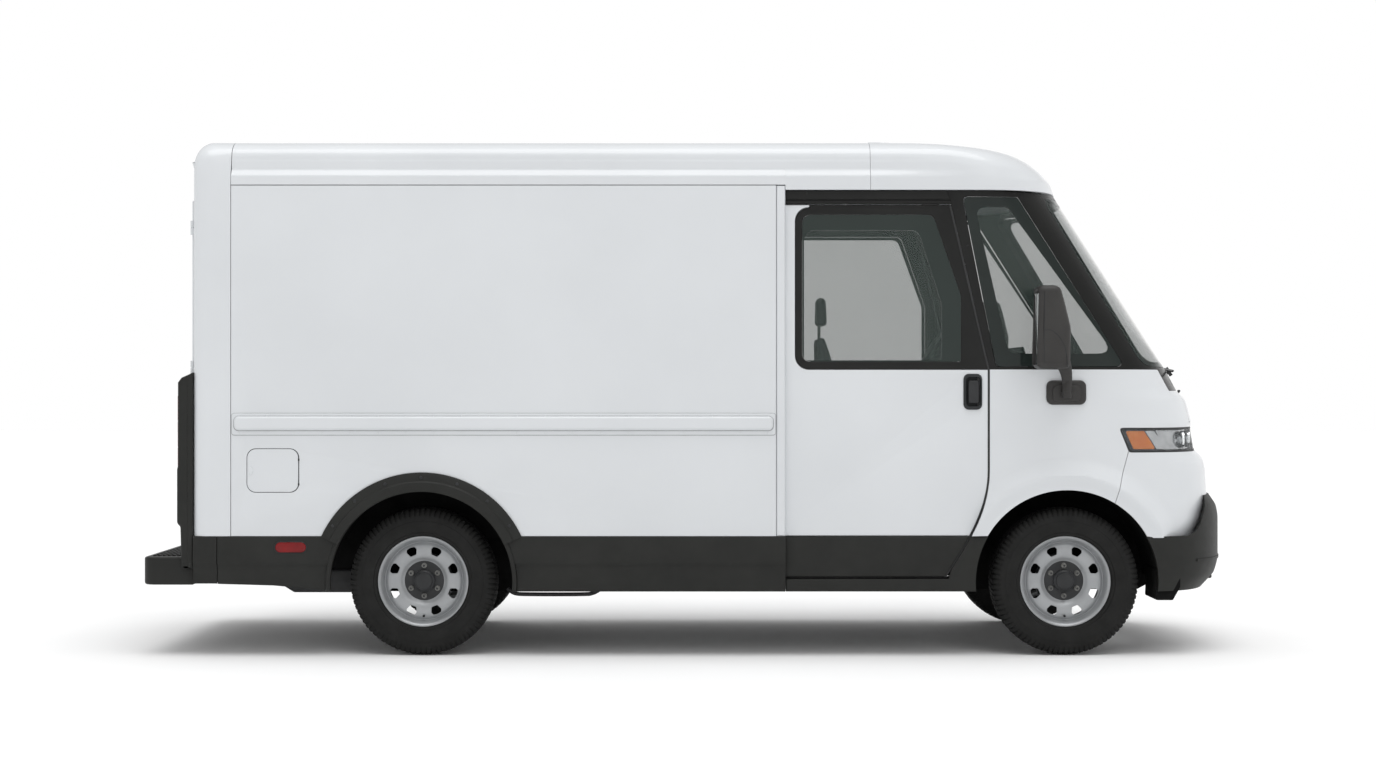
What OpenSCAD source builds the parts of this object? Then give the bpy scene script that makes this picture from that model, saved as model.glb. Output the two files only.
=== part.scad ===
// Mail delivery truck: an electric step van with sliding cab doors and hinged rear doors.
// X runs forward, Y to the vehicle's left, Z up. The origin is on the ground, under the vehicle's middle.
// Pieces at the front are placed from the front axle, pieces at the rear from the rear axle.

/* [Overall] */
// Distance between the axles
wheelbase = 3480; // [3480:10:4700]
// Front axle to the tip of the front bumper
front_overhang = 955; // [955:5:1150]
// Rear axle to the rear edge of the step
rear_overhang = 1515; // [1515:5:1820]
// Width of the cargo body
body_w = 2080; // [1980:10:2200]
// Height of the roof above the ground
roof_z = 2790; // [2760:10:3350]

/* [Chassis] */
// Height of the load floor
floor_z = 660; // [650:5:700]
// Thickness of the floor
floor_t = 40; // [25:1:45]
// Height of one frame rail
rail_h = 120; // [100:1:130]
// Width of one frame rail
rail_w = 66; // [55:1:80]
// Depth of the battery pack
battery_h = 165; // [130:1:170]

/* [Wheels] */
// Outside diameter of the tyre
tyre_d = 800; // [700:2:860]
// Section width of the tyre
tyre_w = 246; // [210:1:262]
// Diameter of the rim's bead seat
rim_d = 457; // [430:1:490]
// Diameter of the brake disc
disc_d = 300; // [250:1:330]
// Diameter of the wheel bolt circle
bolt_circle = 165; // [140:1:180]
// Wheel track, between the tyre centres
track = 1710; // [1680:5:1720]
// Diameter of the wheel spindles
spindle_d = 50; // [40:1:56]
// Diameter of the kingpins
kingpin_d = 30; // [24:1:34]
// Radial clearance of a pin in its bore
pin_clear = 0.06; // [0.02:0.01:0.1]
// Radius of the wheel arches
arch_r = 490; // [485:1:500]

/* [Body panels] */
// Thickness of the outer panels
skin = 20; // [12:1:24]
// Height of the belt line under the windows
belt_z = 1548; // [1540:2:1580]
// Top edge of the side panels
band_z = 2541; // [2530:1:2560]
// Top edge of the black lower cladding
clad_top = 651; // [630:1:660]
// Bottom edge of the cladding
clad_bottom = 351; // [330:1:380]
// Gap around doors and flaps
gap = 6; // [4:0.5:8]
// Thickness of a cab door
door_t = 40; // [30:1:44]
// Travel of a sliding cab door
door_travel = 930; // [700:10:950]
// Thickness of a rear door
rear_door_t = 36; // [28:1:44]
// Half width of the rear doorway
doorway_half = 850; // [800:1:860]
// Thickness of the glass
glass_t = 8; // [5:1:10]

/* [Fittings] */
// Diameter of the steering wheel
steering_d = 400; // [360:5:440]
// Width of the seat
seat_w = 500; // [420:5:540]
// Length of the charge flap
flap_l = 275; // [220:5:290]
// Height of the charge flap
flap_h = 232; // [190:2:250]
// Height of a mirror head
mirror_h = 430; // [350:5:450]
// Length of a wiper blade
blade_l = 600; // [480:10:620]
// Spacing of the licence plate holes, across
plate_x = 178; // [150:1:200]
// Spacing of the licence plate holes, up
plate_z = 121; // [100:1:130]

/* [Hidden] */
$fn = 48;

total_l = rear_overhang + wheelbase + front_overhang;
rx = rear_overhang - total_l / 2;
fx = rx + wheelbase;
wheel_z = tyre_d / 2;
half = body_w / 2;
cab_half = half - 32;
track_half = track / 2;
floor_bottom = floor_z - floor_t;
rail_z = floor_bottom - rail_h;
rail_y = 450 - rail_w;
box_rear = rx - 1230;
cap_seam = rx - 1027;
pocket_x = fx - 1521;
roof_seam = fx - 1062;
header_z = 2516 + (roof_z - 2790);
side_top = band_z + (roof_z - 2790);
liner_y = cab_half - door_t - 8;
liner_t = 18;
wall_t = 6;
kingpin_y = track_half - 70;
well_r = arch_r + 12;

// ---------- helpers ----------
module block(a, b) {
    translate(a) cube(b - a);
}
// A plate with its outline in X and Z, between two Y values
module plate_y(y0, y1) {
    translate([0, y1, 0]) rotate([90, 0, 0]) linear_extrude(y1 - y0) children();
}
// A plate with its outline in Y and Z, between two X values
module plate_x_dir(x0, x1) {
    translate([x0, 0, 0]) rotate([90, 0, 90]) linear_extrude(x1 - x0) children();
}
// A round bar along Y, from y0 to y1
module bar_y(x, z, r, y0, y1) {
    translate([x, y0, z]) rotate([-90, 0, 0]) cylinder(r = r, h = y1 - y0);
}
// A round bar along X, from x0 to x1
module bar_x(y, z, r, x0, x1) {
    translate([x0, y, z]) rotate([0, 90, 0]) cylinder(r = r, h = x1 - x0);
}
module right_side() {
    mirror([0, 1, 0]) children();
}
module both_sides() {
    children();
    mirror([0, 1, 0]) children();
}
// A rectangle with round corners, from its low to its high corner
module round_rect(a, b, r) {
    translate([a[0] + r, a[1]]) square([b[0] - a[0] - 2 * r, b[1] - a[1]]);
    translate([a[0], a[1] + r]) square([b[0] - a[0], b[1] - a[1] - 2 * r]);
    for (x = [a[0] + r, b[0] - r], y = [a[1] + r, b[1] - r])
        translate([x, y]) circle(r = r);
}
// Points on an arc, in degrees
function arc(cx, cy, r, a0, a1, n = 8) =
    [for (i = [0:n]) let (a = a0 + (a1 - a0) * i / n) [cx + r * cos(a), cy + r * sin(a)]];

// ---------- cab outline in plan ----------
// The front of the cab is a flat bow with tight corners: a superellipse of order 3.
bow_order = 3;
function bow(t) = [pow(max(cos(t), 0), 2 / bow_order), sign(t) * pow(abs(sin(t)), 2 / bow_order)];
// level = [height, nose x from the front axle, length of the bow, half width]
function ring(level, inset, x_back) =
    let (z = level[0], xs = fx + level[1] - level[2], a = level[2] - inset, w = level[3] - inset)
    concat([[x_back, -w, z]],
        [for (t = [-90:10:90]) let (p = bow(t)) [xs + a * p[0], w * p[1], z]],
        [[x_back, w, z]]);
module loft(rings) {
    n = len(rings[0]);
    m = len(rings);
    polyhedron(points = [for (r = rings) each r],
        faces = concat([[for (i = [0:n - 1]) i]],
            [for (j = [0:m - 2], i = [0:n - 1])
                let (k = (i + 1) % n)
                [j * n + i, (j + 1) * n + i, (j + 1) * n + k, j * n + k]],
            [[for (i = [n - 1:-1:0]) (m - 1) * n + i]]));
}
function stretch(levels, by) = [for (i = [0:len(levels) - 1])
    let (v = levels[i], dz = i == 0 ? -by : (i == len(levels) - 1 ? by : 0))
    [v[0] + dz, v[1], v[2], v[3]]];
module shell(levels, t, x_back) {
    difference() {
        loft([for (v = levels) ring(v, 0, x_back)]);
        loft([for (v = stretch(levels, 1)) ring(v, t, x_back - 10)]);
    }
}
nose = front_overhang - 955;
// Lower cab: from the cladding's height to the belt
nose_levels = [[640, 835 + nose, 585, cab_half], [720, 872 + nose, 612, cab_half],
    [816, 890 + nose, 630, cab_half], [1000, 878 + nose, 618, cab_half],
    [1060, 862 + nose, 602, cab_half], [1104, 810 + nose, 560, cab_half],
    [1230, 790 + nose, 560, cab_half], [1258, 797 + nose, 572, cab_half],
    [1380, 765 + nose, 570, cab_half], [1432, 716 + nose, 566, cab_half],
    [belt_z, 652, 560, cab_half]];
// Greenhouse: one straight slant from the belt to the header
glass_levels = [[belt_z, 652, 560, cab_half], [header_z, 26, 560, cab_half]];
// Half width of the roof at a height, on its rounded edge
edge_r = [210, 185];
edge_z = roof_z - 5 - edge_r[1];
edge_n = 2.6;
function roof_half(z) = half - edge_r[0]
    + edge_r[0] * pow(1 - pow(min(max(z - edge_z, 0) / edge_r[1], 1), edge_n), 1 / edge_n);
cap_levels = [[header_z, 26, 560, roof_half(header_z)],
    [roof_z - 214, 7, 560, roof_half(roof_z - 214)],
    [roof_z - 150, -50, 560, roof_half(roof_z - 150)],
    [roof_z - 100, -112, 556, roof_half(roof_z - 100)],
    [roof_z - 62, -182, 540, roof_half(roof_z - 62)],
    [roof_z - 32, -290, 500, roof_half(roof_z - 32)],
    [roof_z - 14, -470, 400, roof_half(roof_z - 14)],
    [roof_z, -880, 150, half - edge_r[0] - 20]];
cap_t = 24;

// Outline of the body section, in Y and Z, above a height
function roof_edge(inset) = [for (t = [0:15:90])
    [half - edge_r[0] + (edge_r[0] - inset) * pow(cos(t), 2 / edge_n),
    edge_z + (edge_r[1] - inset) * pow(sin(t), 2 / edge_n)]];
function body_outline(z0, inset) = concat([[half - inset, z0]], roof_edge(inset), [[0, roof_z - inset]],
    [for (p = [for (i = [6:-1:0]) roof_edge(inset)[i]]) [-p[0], p[1]]], [[-half + inset, z0]]);

// Door outline: front edge leans back above the belt and sweeps back round the wheel below it
door_bottom = 429;
door_top = header_z - 80;
door_back = pocket_x - 30;
door_lean = (fx - 427 - (fx - 630)) / (door_top - belt_z);
module door_shape(grow) {
    polygon(concat([[door_back, door_bottom - grow], [fx - 657 + grow, door_bottom - grow]],
        [for (i = [1:6]) let (s = i / 6)
            [fx - 657 + grow + 235 * sin(90 * s), door_bottom + 573 * s]],
        [[fx - 422 + grow, belt_z], [fx - 427 - door_lean * (door_top - belt_z) + grow, door_top + grow],
        [door_back, door_top + grow]]));
}
// Window in the cab door
win_back = pocket_x + 92;
win_z = [belt_z + 42, door_top - 52];
module window_shape(grow) {
    polygon(concat(arc(win_back + 50, win_z[0] + 50, 50 + grow, 180, 270, 4),
        [[fx - 571 + grow, win_z[0] - grow], [fx - 571 + grow, win_z[0] + 357],
        [fx - 722 + grow, win_z[1] + grow]],
        arc(win_back + 50, win_z[1] - 50, 50 + grow, 90, 180, 4)));
}

// ---------- chassis ----------
tow_y = 300;
module chassis_frame() color("#303234") {
    rail_end = [rx - 1080, fx + 700];
    both_sides() difference() {
        block([rail_end[0], rail_y, rail_z], [rail_end[1], rail_y + rail_w, floor_bottom]);
        block([rail_end[0] - 1, rail_y - 1, rail_z + 8],
            [rail_end[1] + 1, rail_y + rail_w - 8, floor_bottom - 8]);
    }
    for (x = [rx - 1000, rx - 420, rx + 420, rx + 1400, fx - 1150, fx - 500, fx + 480])
        difference() {
            block([x, -rail_y, rail_z + 12], [x + 70, rail_y, floor_bottom - 12]);
            block([x + 8, -rail_y - 1, rail_z + 4], [x + 62, rail_y + 1, floor_bottom - 20]);
        }
    // Outriggers that carry the sills
    both_sides() for (x = [rx + 700, rx + 1400, fx - 1150, fx - 640])
        block([x, rail_y + rail_w, floor_bottom - 60], [x + 50, liner_y - 241, floor_bottom]);
    // Front cross tube, with a threaded eye for towing
    difference() {
        block([fx + 700, -rail_y - rail_w, rail_z], [fx + 740, rail_y + rail_w, rail_z + 100]);
        bar_x(tow_y, rail_z + 50, 12, fx + 690, fx + 750);
    }
    // Jacking pads
    both_sides() for (x = [rx + 640, fx - 640])
        block([x, rail_y, rail_z - 40], [x + 80, rail_y + rail_w, rail_z]);
}
pack_x = [rx + 760, fx - 680];
step_well_y = liner_y - 240;
pack_half = step_well_y - 14;
module battery_pack() color("#4a4d50") {
    z1 = rail_z;
    z0 = rail_z - battery_h;
    plate_x_dir(pack_x[0], pack_x[1])
        polygon([[30 - pack_half, z0], [pack_half - 30, z0], [pack_half, z0 + 40], [pack_half, z1 - 20],
            [-pack_half, z1 - 20], [-pack_half, z0 + 40]]);
    block([pack_x[0] - 20, -pack_half - 8, z1 - 20], [pack_x[1] + 20, pack_half + 8, z1]);
    for (i = [0:5])
        block([pack_x[0] + 120 + i * 330, 60 - pack_half, z0 - 8],
            [pack_x[0] + 160 + i * 330, pack_half - 60, z0]);
    block([pack_x[1], -90, z0 + 30], [pack_x[1] + 60, 90, z1 - 40]);
}
// Rear electric axle: motor, gearcase and the tubes that carry the rear spindles
axle_tube_r = 45;
spindle_y = track_half - 130;
module drive_unit() color("#8d9194") {
    bar_y(rx, wheel_z, 145, -190, 190);
    bar_y(rx, wheel_z, 120, -240, 240);
    bar_y(rx + 130, wheel_z + 20, 95, -60, 180);
    for (i = [0:7])
        bar_y(rx, wheel_z, 150, -160 + i * 42, -152 + i * 42);
    both_sides() {
        bar_y(rx, wheel_z, axle_tube_r, 200, spindle_y);
        bar_y(rx, wheel_z, 70, spindle_y - 30, spindle_y);
        bar_y(rx, wheel_z, spindle_d / 2, spindle_y, track_half + 45);
    }
    block([rx - 60, -120, wheel_z + 130], [rx + 60, 120, floor_bottom - 30]);
}
// Leaf springs, front axle beam with its kingpin yokes, and dampers
module leaf(x, y, w, z, reach, rise) {
    r = (reach * reach + rise * rise) / (2 * rise);
    swing = asin(reach / r);
    for (i = [0:2])
        plate_y(y, y + w)
            let (a = swing * (1 - 0.25 * i))
                polygon(concat(arc(x, z + r, r + 14 * i, 270 - a, 270 + a, 12),
                    arc(x, z + r, r + 14 * i - 15, 270 + a, 270 - a, 12)));
}
ear_r = kingpin_d / 2 + 11;
module suspension() color("#3a3c3e") {
    leaf_w = 60;
    both_sides() {
        // Rear springs stand on the axle tubes, outside the rails
        leaf(rx, rail_y + rail_w + 30, leaf_w, wheel_z + axle_tube_r + 28, 560, 75);
        for (s = [-1, 1]) {
            block([rx + s * 590 - 28, rail_y + rail_w, rail_z + 10],
                [rx + s * 590 + 28, rail_y + rail_w + 100, floor_bottom]);
            block([fx + s * 500 - 28, rail_y, wheel_z + 70], [fx + s * 500 + 28, rail_y + rail_w, rail_z]);
        }
        block([rx - 60, rail_y + rail_w + 20, wheel_z + axle_tube_r],
            [rx + 60, rail_y + rail_w + 100, wheel_z + axle_tube_r + 6]);
        // Front springs under the rails
        leaf(fx, rail_y + 3, leaf_w, wheel_z - 2 + 28, 480, 54);
        // Dampers
        translate([fx + 120, rail_y - 60, wheel_z - 40]) rotate([0, 12, 0]) cylinder(r = 26, h = 190);
        translate([rx - 130, rail_y - 60, wheel_z - 20]) rotate([0, -12, 0]) cylinder(r = 26, h = 170);
        block([rx - 175, rail_y - 90, wheel_z - 40], [rx - 48, rail_y - 30, wheel_z - 20]);
        // Kingpin yokes
        difference() {
            union() {
                block([fx - 32, kingpin_y - 92, wheel_z - 105], [fx + 32, kingpin_y - 50, wheel_z + 105]);
                for (z = [wheel_z - 105, wheel_z + 83]) {
                    block([fx - ear_r, kingpin_y - 60, z], [fx + ear_r, kingpin_y, z + 22]);
                    translate([fx, kingpin_y, z]) cylinder(r = ear_r, h = 22);
                }
            }
            translate([fx, kingpin_y, wheel_z - 110]) cylinder(r = kingpin_d / 2 + pin_clear, h = 220);
        }
    }
    plate_y(-kingpin_y + 92, kingpin_y - 92)
        polygon([[fx - 45, wheel_z - 70], [fx + 45, wheel_z - 70], [fx + 45, wheel_z - 50],
            [fx + 12, wheel_z - 50], [fx + 12, wheel_z - 22], [fx + 45, wheel_z - 22],
            [fx + 45, wheel_z - 2], [fx - 45, wheel_z - 2], [fx - 45, wheel_z - 22],
            [fx - 12, wheel_z - 22], [fx - 12, wheel_z - 50], [fx - 45, wheel_z - 50]]);
}
well_y = 690;
front_well_y = 470;
bulk_x = pocket_x + 30;
bulk_t = 24;
walkway_half = 380;
bulk_groove = 4;
module floor() color("#6d7173") {
    difference() {
        block([cap_seam, -liner_y, floor_bottom], [fx + 120, liner_y, floor_z]);
        both_sides() {
            block([rx - well_r - 16, well_y, floor_bottom - 1], [rx + well_r + 16, half, floor_z + 1]);
            block([fx - well_r - 16, front_well_y, floor_bottom - 1], [fx + 200, half, floor_z + 1]);
            // Groove that the bulkhead stands in
            block([bulk_x, walkway_half, floor_z - bulk_groove], [bulk_x + bulk_t, half, floor_z + 1]);
            // Step wells inside the cab doors
            block([pocket_x + 120, step_well_y, floor_bottom - 1], [fx - 640, half, floor_z + 1]);
        }
    }
    both_sides() difference() {
        block([pocket_x + 120, step_well_y, door_bottom], [fx - 640, liner_y, floor_bottom]);
        block([pocket_x + 135, step_well_y + 15, door_bottom + 20], [fx - 655, half, floor_bottom + 1]);
    }
    // Firewall, at the front of the footwell
    block([fx + 120, -front_well_y + 6, floor_bottom], [fx + 140, front_well_y - 6, 1180]);
}
// Wheel housings: a half drum over each wheel, closed on the inside
module wheel_liners() color("#232526") {
    both_sides() {
        liner(rx, well_y, liner_y + liner_t, floor_bottom);
        liner(fx, front_well_y, cab_half - 50, wheel_z + 8);
    }
}
module liner(x, y0, y1, z0) {
    difference() {
        bar_y(x, wheel_z, well_r + 14, y0, y1);
        bar_y(x, wheel_z, well_r, y0 + 12, y1 + 1);
        block([x - 600, y0 - 1, wheel_z - 600], [x + 600, y1 + 2, z0]);
    }
}

// ---------- cargo body ----------
flap_x = [rx - 938, rx - 938 + flap_l];
flap_z = [888, 888 + flap_h];
module side_panel() {
    difference() {
        plate_y(half - skin, half) difference() {
            translate([cap_seam, clad_top]) square([pocket_x - cap_seam, side_top - clad_top]);
            translate([rx, wheel_z]) circle(r = arch_r + 14);
        }
        children();
    }
    // Posts behind the panel, clear of the door's pocket
    for (x = [cap_seam + 4, rx - 600, rx + 70, rx + 700])
        block([x, liner_y + liner_t, 930], [x + 40, half - skin, side_top]);
}
module cargo_side_left() color("#eef0f2") side_panel();
module cargo_side_right() color("#eef0f2") right_side() side_panel() {
    plate_y(half - skin - 1, half + 1)
        round_rect([flap_x[0] - 4, flap_z[0] - 4], [flap_x[1] + 9, flap_z[1] + 4], 42);
    for (z = flap_knuckles)
        block([flap_x[1] - 4, half - skin - 1, z - 18], [flap_x[1] + 14, half + 1, z + 18]);
}
module cargo_roof() color("#f2f4f6") {
    difference() {
        plate_x_dir(cap_seam, roof_seam) difference() {
            polygon(body_outline(header_z, 0));
            polygon(body_outline(header_z - 1, 24));
        }
        block([cap_seam - 1, -half - 1, header_z - 1], [pocket_x, half + 1, side_top]);
    }
    // Roof bows
    for (x = [cap_seam + 300:560:roof_seam - 100])
        plate_x_dir(x, x + 40) difference() {
            polygon(body_outline(side_top, 24));
            polygon(body_outline(side_top - 1, 50));
        }
}
portal_top = header_z - 76;
module rear_portal() color("#eef0f2") {
    face_t = 26;
    difference() {
        plate_x_dir(box_rear, cap_seam) polygon(body_outline(clad_top, 0));
        plate_x_dir(box_rear + face_t, cap_seam + 1) polygon(body_outline(clad_top - 1, skin + 4));
        block([box_rear - 1, -doorway_half, clad_top - 1], [box_rear + face_t + 1, doorway_half, portal_top]);
    }
    // Jamb lining and sill
    both_sides() block([box_rear + face_t, doorway_half, floor_z],
        [cap_seam, doorway_half + 16, portal_top + 16]);
    block([box_rear + face_t, -doorway_half, portal_top], [cap_seam, doorway_half, portal_top + 16]);
    block([box_rear, -half + skin + 4, floor_bottom], [cap_seam, half - skin - 4, clad_top - 0.5]);
    // Fixed knuckles of the rear door hinges, with their pins
    both_sides() for (z = rear_knuckles) {
        translate([rear_hinge[0], rear_hinge[1], z - 40]) cylinder(r = 13, h = 38);
        translate([rear_hinge[0], rear_hinge[1], z - 40]) cylinder(r = 6, h = 78);
        block([rear_hinge[0], rear_hinge[1] - 4, z - 40], [box_rear, rear_hinge[1] + 12, z - 2]);
    }
}
// Bulkhead with its walkway, the walls behind the sliding doors, and the door tracks
track_y = cab_half - door_t / 2;
module inner_walls() color("#dfe2e4") {
    track_back = door_back - door_travel - 20;
    track_front = fx - 630;
    plate_x_dir(bulk_x, bulk_x + bulk_t) difference() {
        translate([-liner_y, floor_z - bulk_groove]) square([2 * liner_y, side_top - floor_z + bulk_groove]);
        translate([-walkway_half, floor_z - 10]) square([2 * walkway_half, 1709]);
        both_sides_2d() translate([450, 1450]) square([360, 600]);
    }
    both_sides() difference() {
        block([cap_seam, liner_y, floor_bottom], [pocket_x + 60, liner_y + wall_t, side_top]);
        bar_y(rx, wheel_z, well_r + 14.5, liner_y - 2, liner_y + liner_t + 2);
    }
    both_sides() {
        block([track_back, track_y - 4, door_top + 12], [track_front, track_y + 4, header_z - 2]);
        block([track_back, track_y - 40, header_z - 2], [track_front, track_y + 12, header_z + 6]);
    }
}
module both_sides_2d() {
    children();
    mirror([1, 0]) children();
}

// ---------- cab ----------
module cab_roof_cap() color("#f2f4f6") {
    difference() {
        loft([for (v = cap_levels) ring(v, 0, roof_seam)]);
        loft([for (i = [0:6]) let (v = cap_levels[i])
            ring([i == 0 ? v[0] - 1 : v[0] - cap_t * i / 6, v[1], v[2], v[3]], cap_t, roof_seam - 10)]);
    }
}
module arch_cut() {
    bar_y(fx, wheel_z, arch_r, -half - 60, half + 60);
}
lamp_z = [1106, 1228];
module cab_shell() color("#f2f4f6") {
    difference() {
        shell(nose_levels, skin, fx - 700);
        both_sides() plate_y(cab_half - 60, cab_half + 60) union() {
            door_shape(gap);
            translate([fx - 760, 300]) square([200, 1400]);
        }
        arch_cut();
        block([fx - 800, -half - 60, 600], [fx - 100, half + 60, clad_top]);
        // Hood opening, cowl opening and lamp openings
        block([fx + 300, -702, 1258], [fx + 1000, 702, 1432]);
        block([fx + 200, -822, 1432], [fx + 1000, 822, belt_z + 2]);
        both_sides() lamp_region(2);
    }
}
module lamp_region(grow) {
    intersection() {
        block([fx + 290 - grow, 470 - grow, lamp_z[0] - grow], [fx + 1000, half + 60, lamp_z[1] + grow]);
        plate_y(300, half + 80) polygon([[fx + 290 - grow, lamp_z[1] + grow],
            [fx + 350 - grow, lamp_z[0] - grow],
            [fx + 1000, lamp_z[0] - grow], [fx + 1000, lamp_z[1] + grow]]);
    }
}
module headlamps() color("#c9ced2") {
    lamp_levels = [[lamp_z[0], 812 + nose, 560, cab_half + 2], [lamp_z[1], 792 + nose, 560, cab_half + 2]];
    both_sides() intersection() {
        difference() {
            loft([for (v = lamp_levels) ring(v, 0, fx)]);
            loft([for (v = stretch(lamp_levels, 1)) ring(v, 46, fx - 10)]);
        }
        lamp_region(-1);
    }
}
// Windshield and quarter window outlines
module windshield_region(grow) {
    plate_x_dir(fx - 700, fx + 900) polygon([
        [-925 - grow, belt_z + 12 - grow], [925 + grow, belt_z + 12 - grow],
        [872 + grow, header_z - 30 + grow], [-872 - grow, header_z - 30 + grow]]);
}
module quarter_region(grow) {
    z0 = belt_z + 14;
    z1 = header_z - 34;
    plate_y(cab_half - 120, cab_half + 10) polygon([
        [fx - 385 - grow, z0 - grow], [fx + 318 + grow, z0 - grow],
        [fx - 262 + grow, z1 + grow], [fx - 566 - grow, z1 + grow]]);
}
module window_pillars() color("#26292b") {
    pillar_t = 28;
    difference() {
        shell(glass_levels, pillar_t, fx - 760);
        both_sides() plate_y(cab_half - 80, cab_half + 60) union() {
            door_shape(gap);
            translate([fx - 790, belt_z - 20]) square([160, 1100]);
        }
        intersection() {
            windshield_region(0);
            block([fx - 560, -940, belt_z], [fx + 900, 940, header_z]);
            translate([fx + 652 - 560 + 200, 0, 0]) front_half();
        }
        both_sides() quarter_region(0);
    }
    // Track headers above the cab doors
    both_sides() block([pocket_x + 2, cab_half - 2, door_top + gap + 6], [fx - 640, cab_half + 12, header_z]);
    for (y0 = wiper_pivots)
        wiper_post(y0);
    // Cowl panel between the windshield and the hood, with the hood's fixed knuckles and pins
    intersection() {
        shell([nose_levels[9], nose_levels[10]], 16, fx);
        block([fx + 200, -820, 1434], [fx + 1000, 820, belt_z]);
    }
    for (y = hood_knuckles, s = [-1, 1]) {
        bar_y(hood_hinge[0], hood_hinge[1], 6, y + (s > 0 ? 15 : -27), y + (s > 0 ? 27 : -15));
        block([hood_hinge[0] - 60, y + (s > 0 ? 15 : -27), hood_hinge[1] + 3],
            [hood_hinge[0], y + (s > 0 ? 27 : -15), hood_hinge[1] + 8]);
    }
    hood_pin_hole(2.5);
}
// Everything ahead of a plane that leans with the windshield
module front_half() {
    plate_y(-1100, 1100) polygon([[0, belt_z - 40], [900, belt_z - 40], [900, header_z + 40],
        [-645 * (header_z - belt_z + 40) / 971, header_z + 40]]);
}
module cab_glass() color("#5f6c68", 0.5) {
    difference() {
        intersection() {
            shell(glass_levels, glass_t, fx - 700);
            windshield_region(-1);
            translate([fx + 652 - 560 + 202, 0, 0]) front_half();
        }
        both_sides() quarter_region(0);
    }
    both_sides() intersection() {
        shell(glass_levels, glass_t, fx - 700);
        quarter_region(-1);
    }
}
hood_hinge = [fx + nose_levels[9][1] + 7, nose_levels[9][0] - 1];
hood_knuckles = [-420, 420];
module hood_pin_hole(r) {
    for (y = hood_knuckles)
        bar_y(hood_hinge[0], hood_hinge[1], r, y - 40, y + 40);
}
module hood() color("#f2f4f6") difference() {
    union() {
        intersection() {
            shell([nose_levels[7], nose_levels[8], nose_levels[9]], 18, fx);
            block([fx + 300, -698, 1258 + 3], [fx + 1000, 698, 1432 - 4]);
        }
        // Moving knuckles of the hinge
        for (y = hood_knuckles) {
            bar_y(hood_hinge[0], hood_hinge[1], 6, y - 14.5, y + 14.5);
            block([hood_hinge[0] - 45, y - 14.5, hood_hinge[1] - 12],
                [hood_hinge[0] + 4, y + 14.5, hood_hinge[1] - 4]);
        }
    }
    hood_pin_hole(2.5 + pin_clear);
}
bumper_levels = [[351, 850 + nose, 560, cab_half + 14], [425, 928 + nose, 640, cab_half + 14],
    [500, 955 + nose, 668, cab_half + 14], [740, 955 + nose, 668, cab_half + 14],
    [800, 940 + nose, 655, cab_half + 14], [858, 897 + nose, 632, cab_half + 8]];
module front_bumper() color("#26292b") {
    difference() {
        union() {
            difference() {
                intersection() {
                    shell(bumper_levels, 36, fx + 200);
                    union() {
                        block([fx + 300, -1200, 351], [fx + 1000, 1200, 638]);
                        block([fx + 690, -1200, 600], [fx + 1000, 1200, 860]);
                    }
                }
                loft([for (v = stretch([for (i = [0:3]) nose_levels[i]], 0)) ring(v, -1, fx)]);
                arch_cut();
            }
            // Flat pad for the licence plate
            block([fx + front_overhang - 60, -170, 520], [fx + front_overhang, 170, 680]);
            // Beam behind the cover
            block([fx + 740, -640, rail_z + 92], [fx + 780, 640, rail_z + 130]);
            both_sides() block([fx + 779, 480, rail_z + 94], [fx + 895, 540, rail_z + 128]);
        }
        // Licence plate holes
        for (y = [-plate_x / 2, plate_x / 2], z = [-plate_z / 2, plate_z / 2])
            bar_x(y, 600 + z, 3.5, fx + 800, fx + 1200);
        // Cooling openings. The left one is also the way through to the towing eye
        both_sides() block([fx + 785, tow_y - 60, rail_z + 5], [fx + 1200, tow_y + 60, rail_z + 90]);
    }
}

// ---------- outside fittings ----------
step_x = [rx - rear_overhang, box_rear - 4];
step_z = [384, 474];
module rear_step() color("#26292b") {
    plate_z(step_z[0], step_z[1] - 6) round_rect([step_x[0], -985], [step_x[1], 985], 60);
    for (i = [0:7])
        block([step_x[0] + 40 + i * 26, -900, step_z[1] - 6], [step_x[0] + 52 + i * 26, 900, step_z[1]]);
    both_sides() {
        block([step_x[1], 300, step_z[0] + 10], [rx - 1060, 360, step_z[1] - 10]);
        block([rx - 1080, 300, step_z[0] + 10], [rx - 1040, 360, rail_z + 40]);
    }
}
module plate_z(z0, z1) {
    translate([0, 0, z0]) linear_extrude(z1 - z0) children();
}
module corner_guards() color("#26292b") {
    both_sides() difference() {
        plate_y(950, 1030) polygon([[box_rear, 500], [box_rear - 78, 500], [box_rear - 90, 560],
            [box_rear - 90, 1490], [box_rear - 60, 1523], [box_rear, 1530]]);
        block([box_rear - 100, 968, 990], [box_rear - 70, 1012, 1410]);
    }
}
module tail_lamps() color("#a3181c") {
    both_sides() {
        block([box_rear - 88, 970, 992], [box_rear - 70, 1010, 1408]);
        plate_y(half + 8, half + 14) round_rect([rx - 784, 564], [rx - 622, 618], 20);
    }
    for (y = [-330, 0, 330, -930, 930])
        block([box_rear - 14, y - 35, header_z - 22], [box_rear, y + 35, header_z + 3]);
}
module clearance_lamps() color("#e08a1e") {
    for (y = [-760, -170, 0, 170, 760]) {
        x = fx - 300 - 60 * pow(abs(y) / 760, 2);
        difference() {
            block([x - 60, y - 34, roof_z - 130], [x, y + 34, roof_z - 8]);
            loft([for (v = cap_levels) ring(v, -0.01, roof_seam)]);
        }
    }
}
flare_w = 88;
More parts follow.
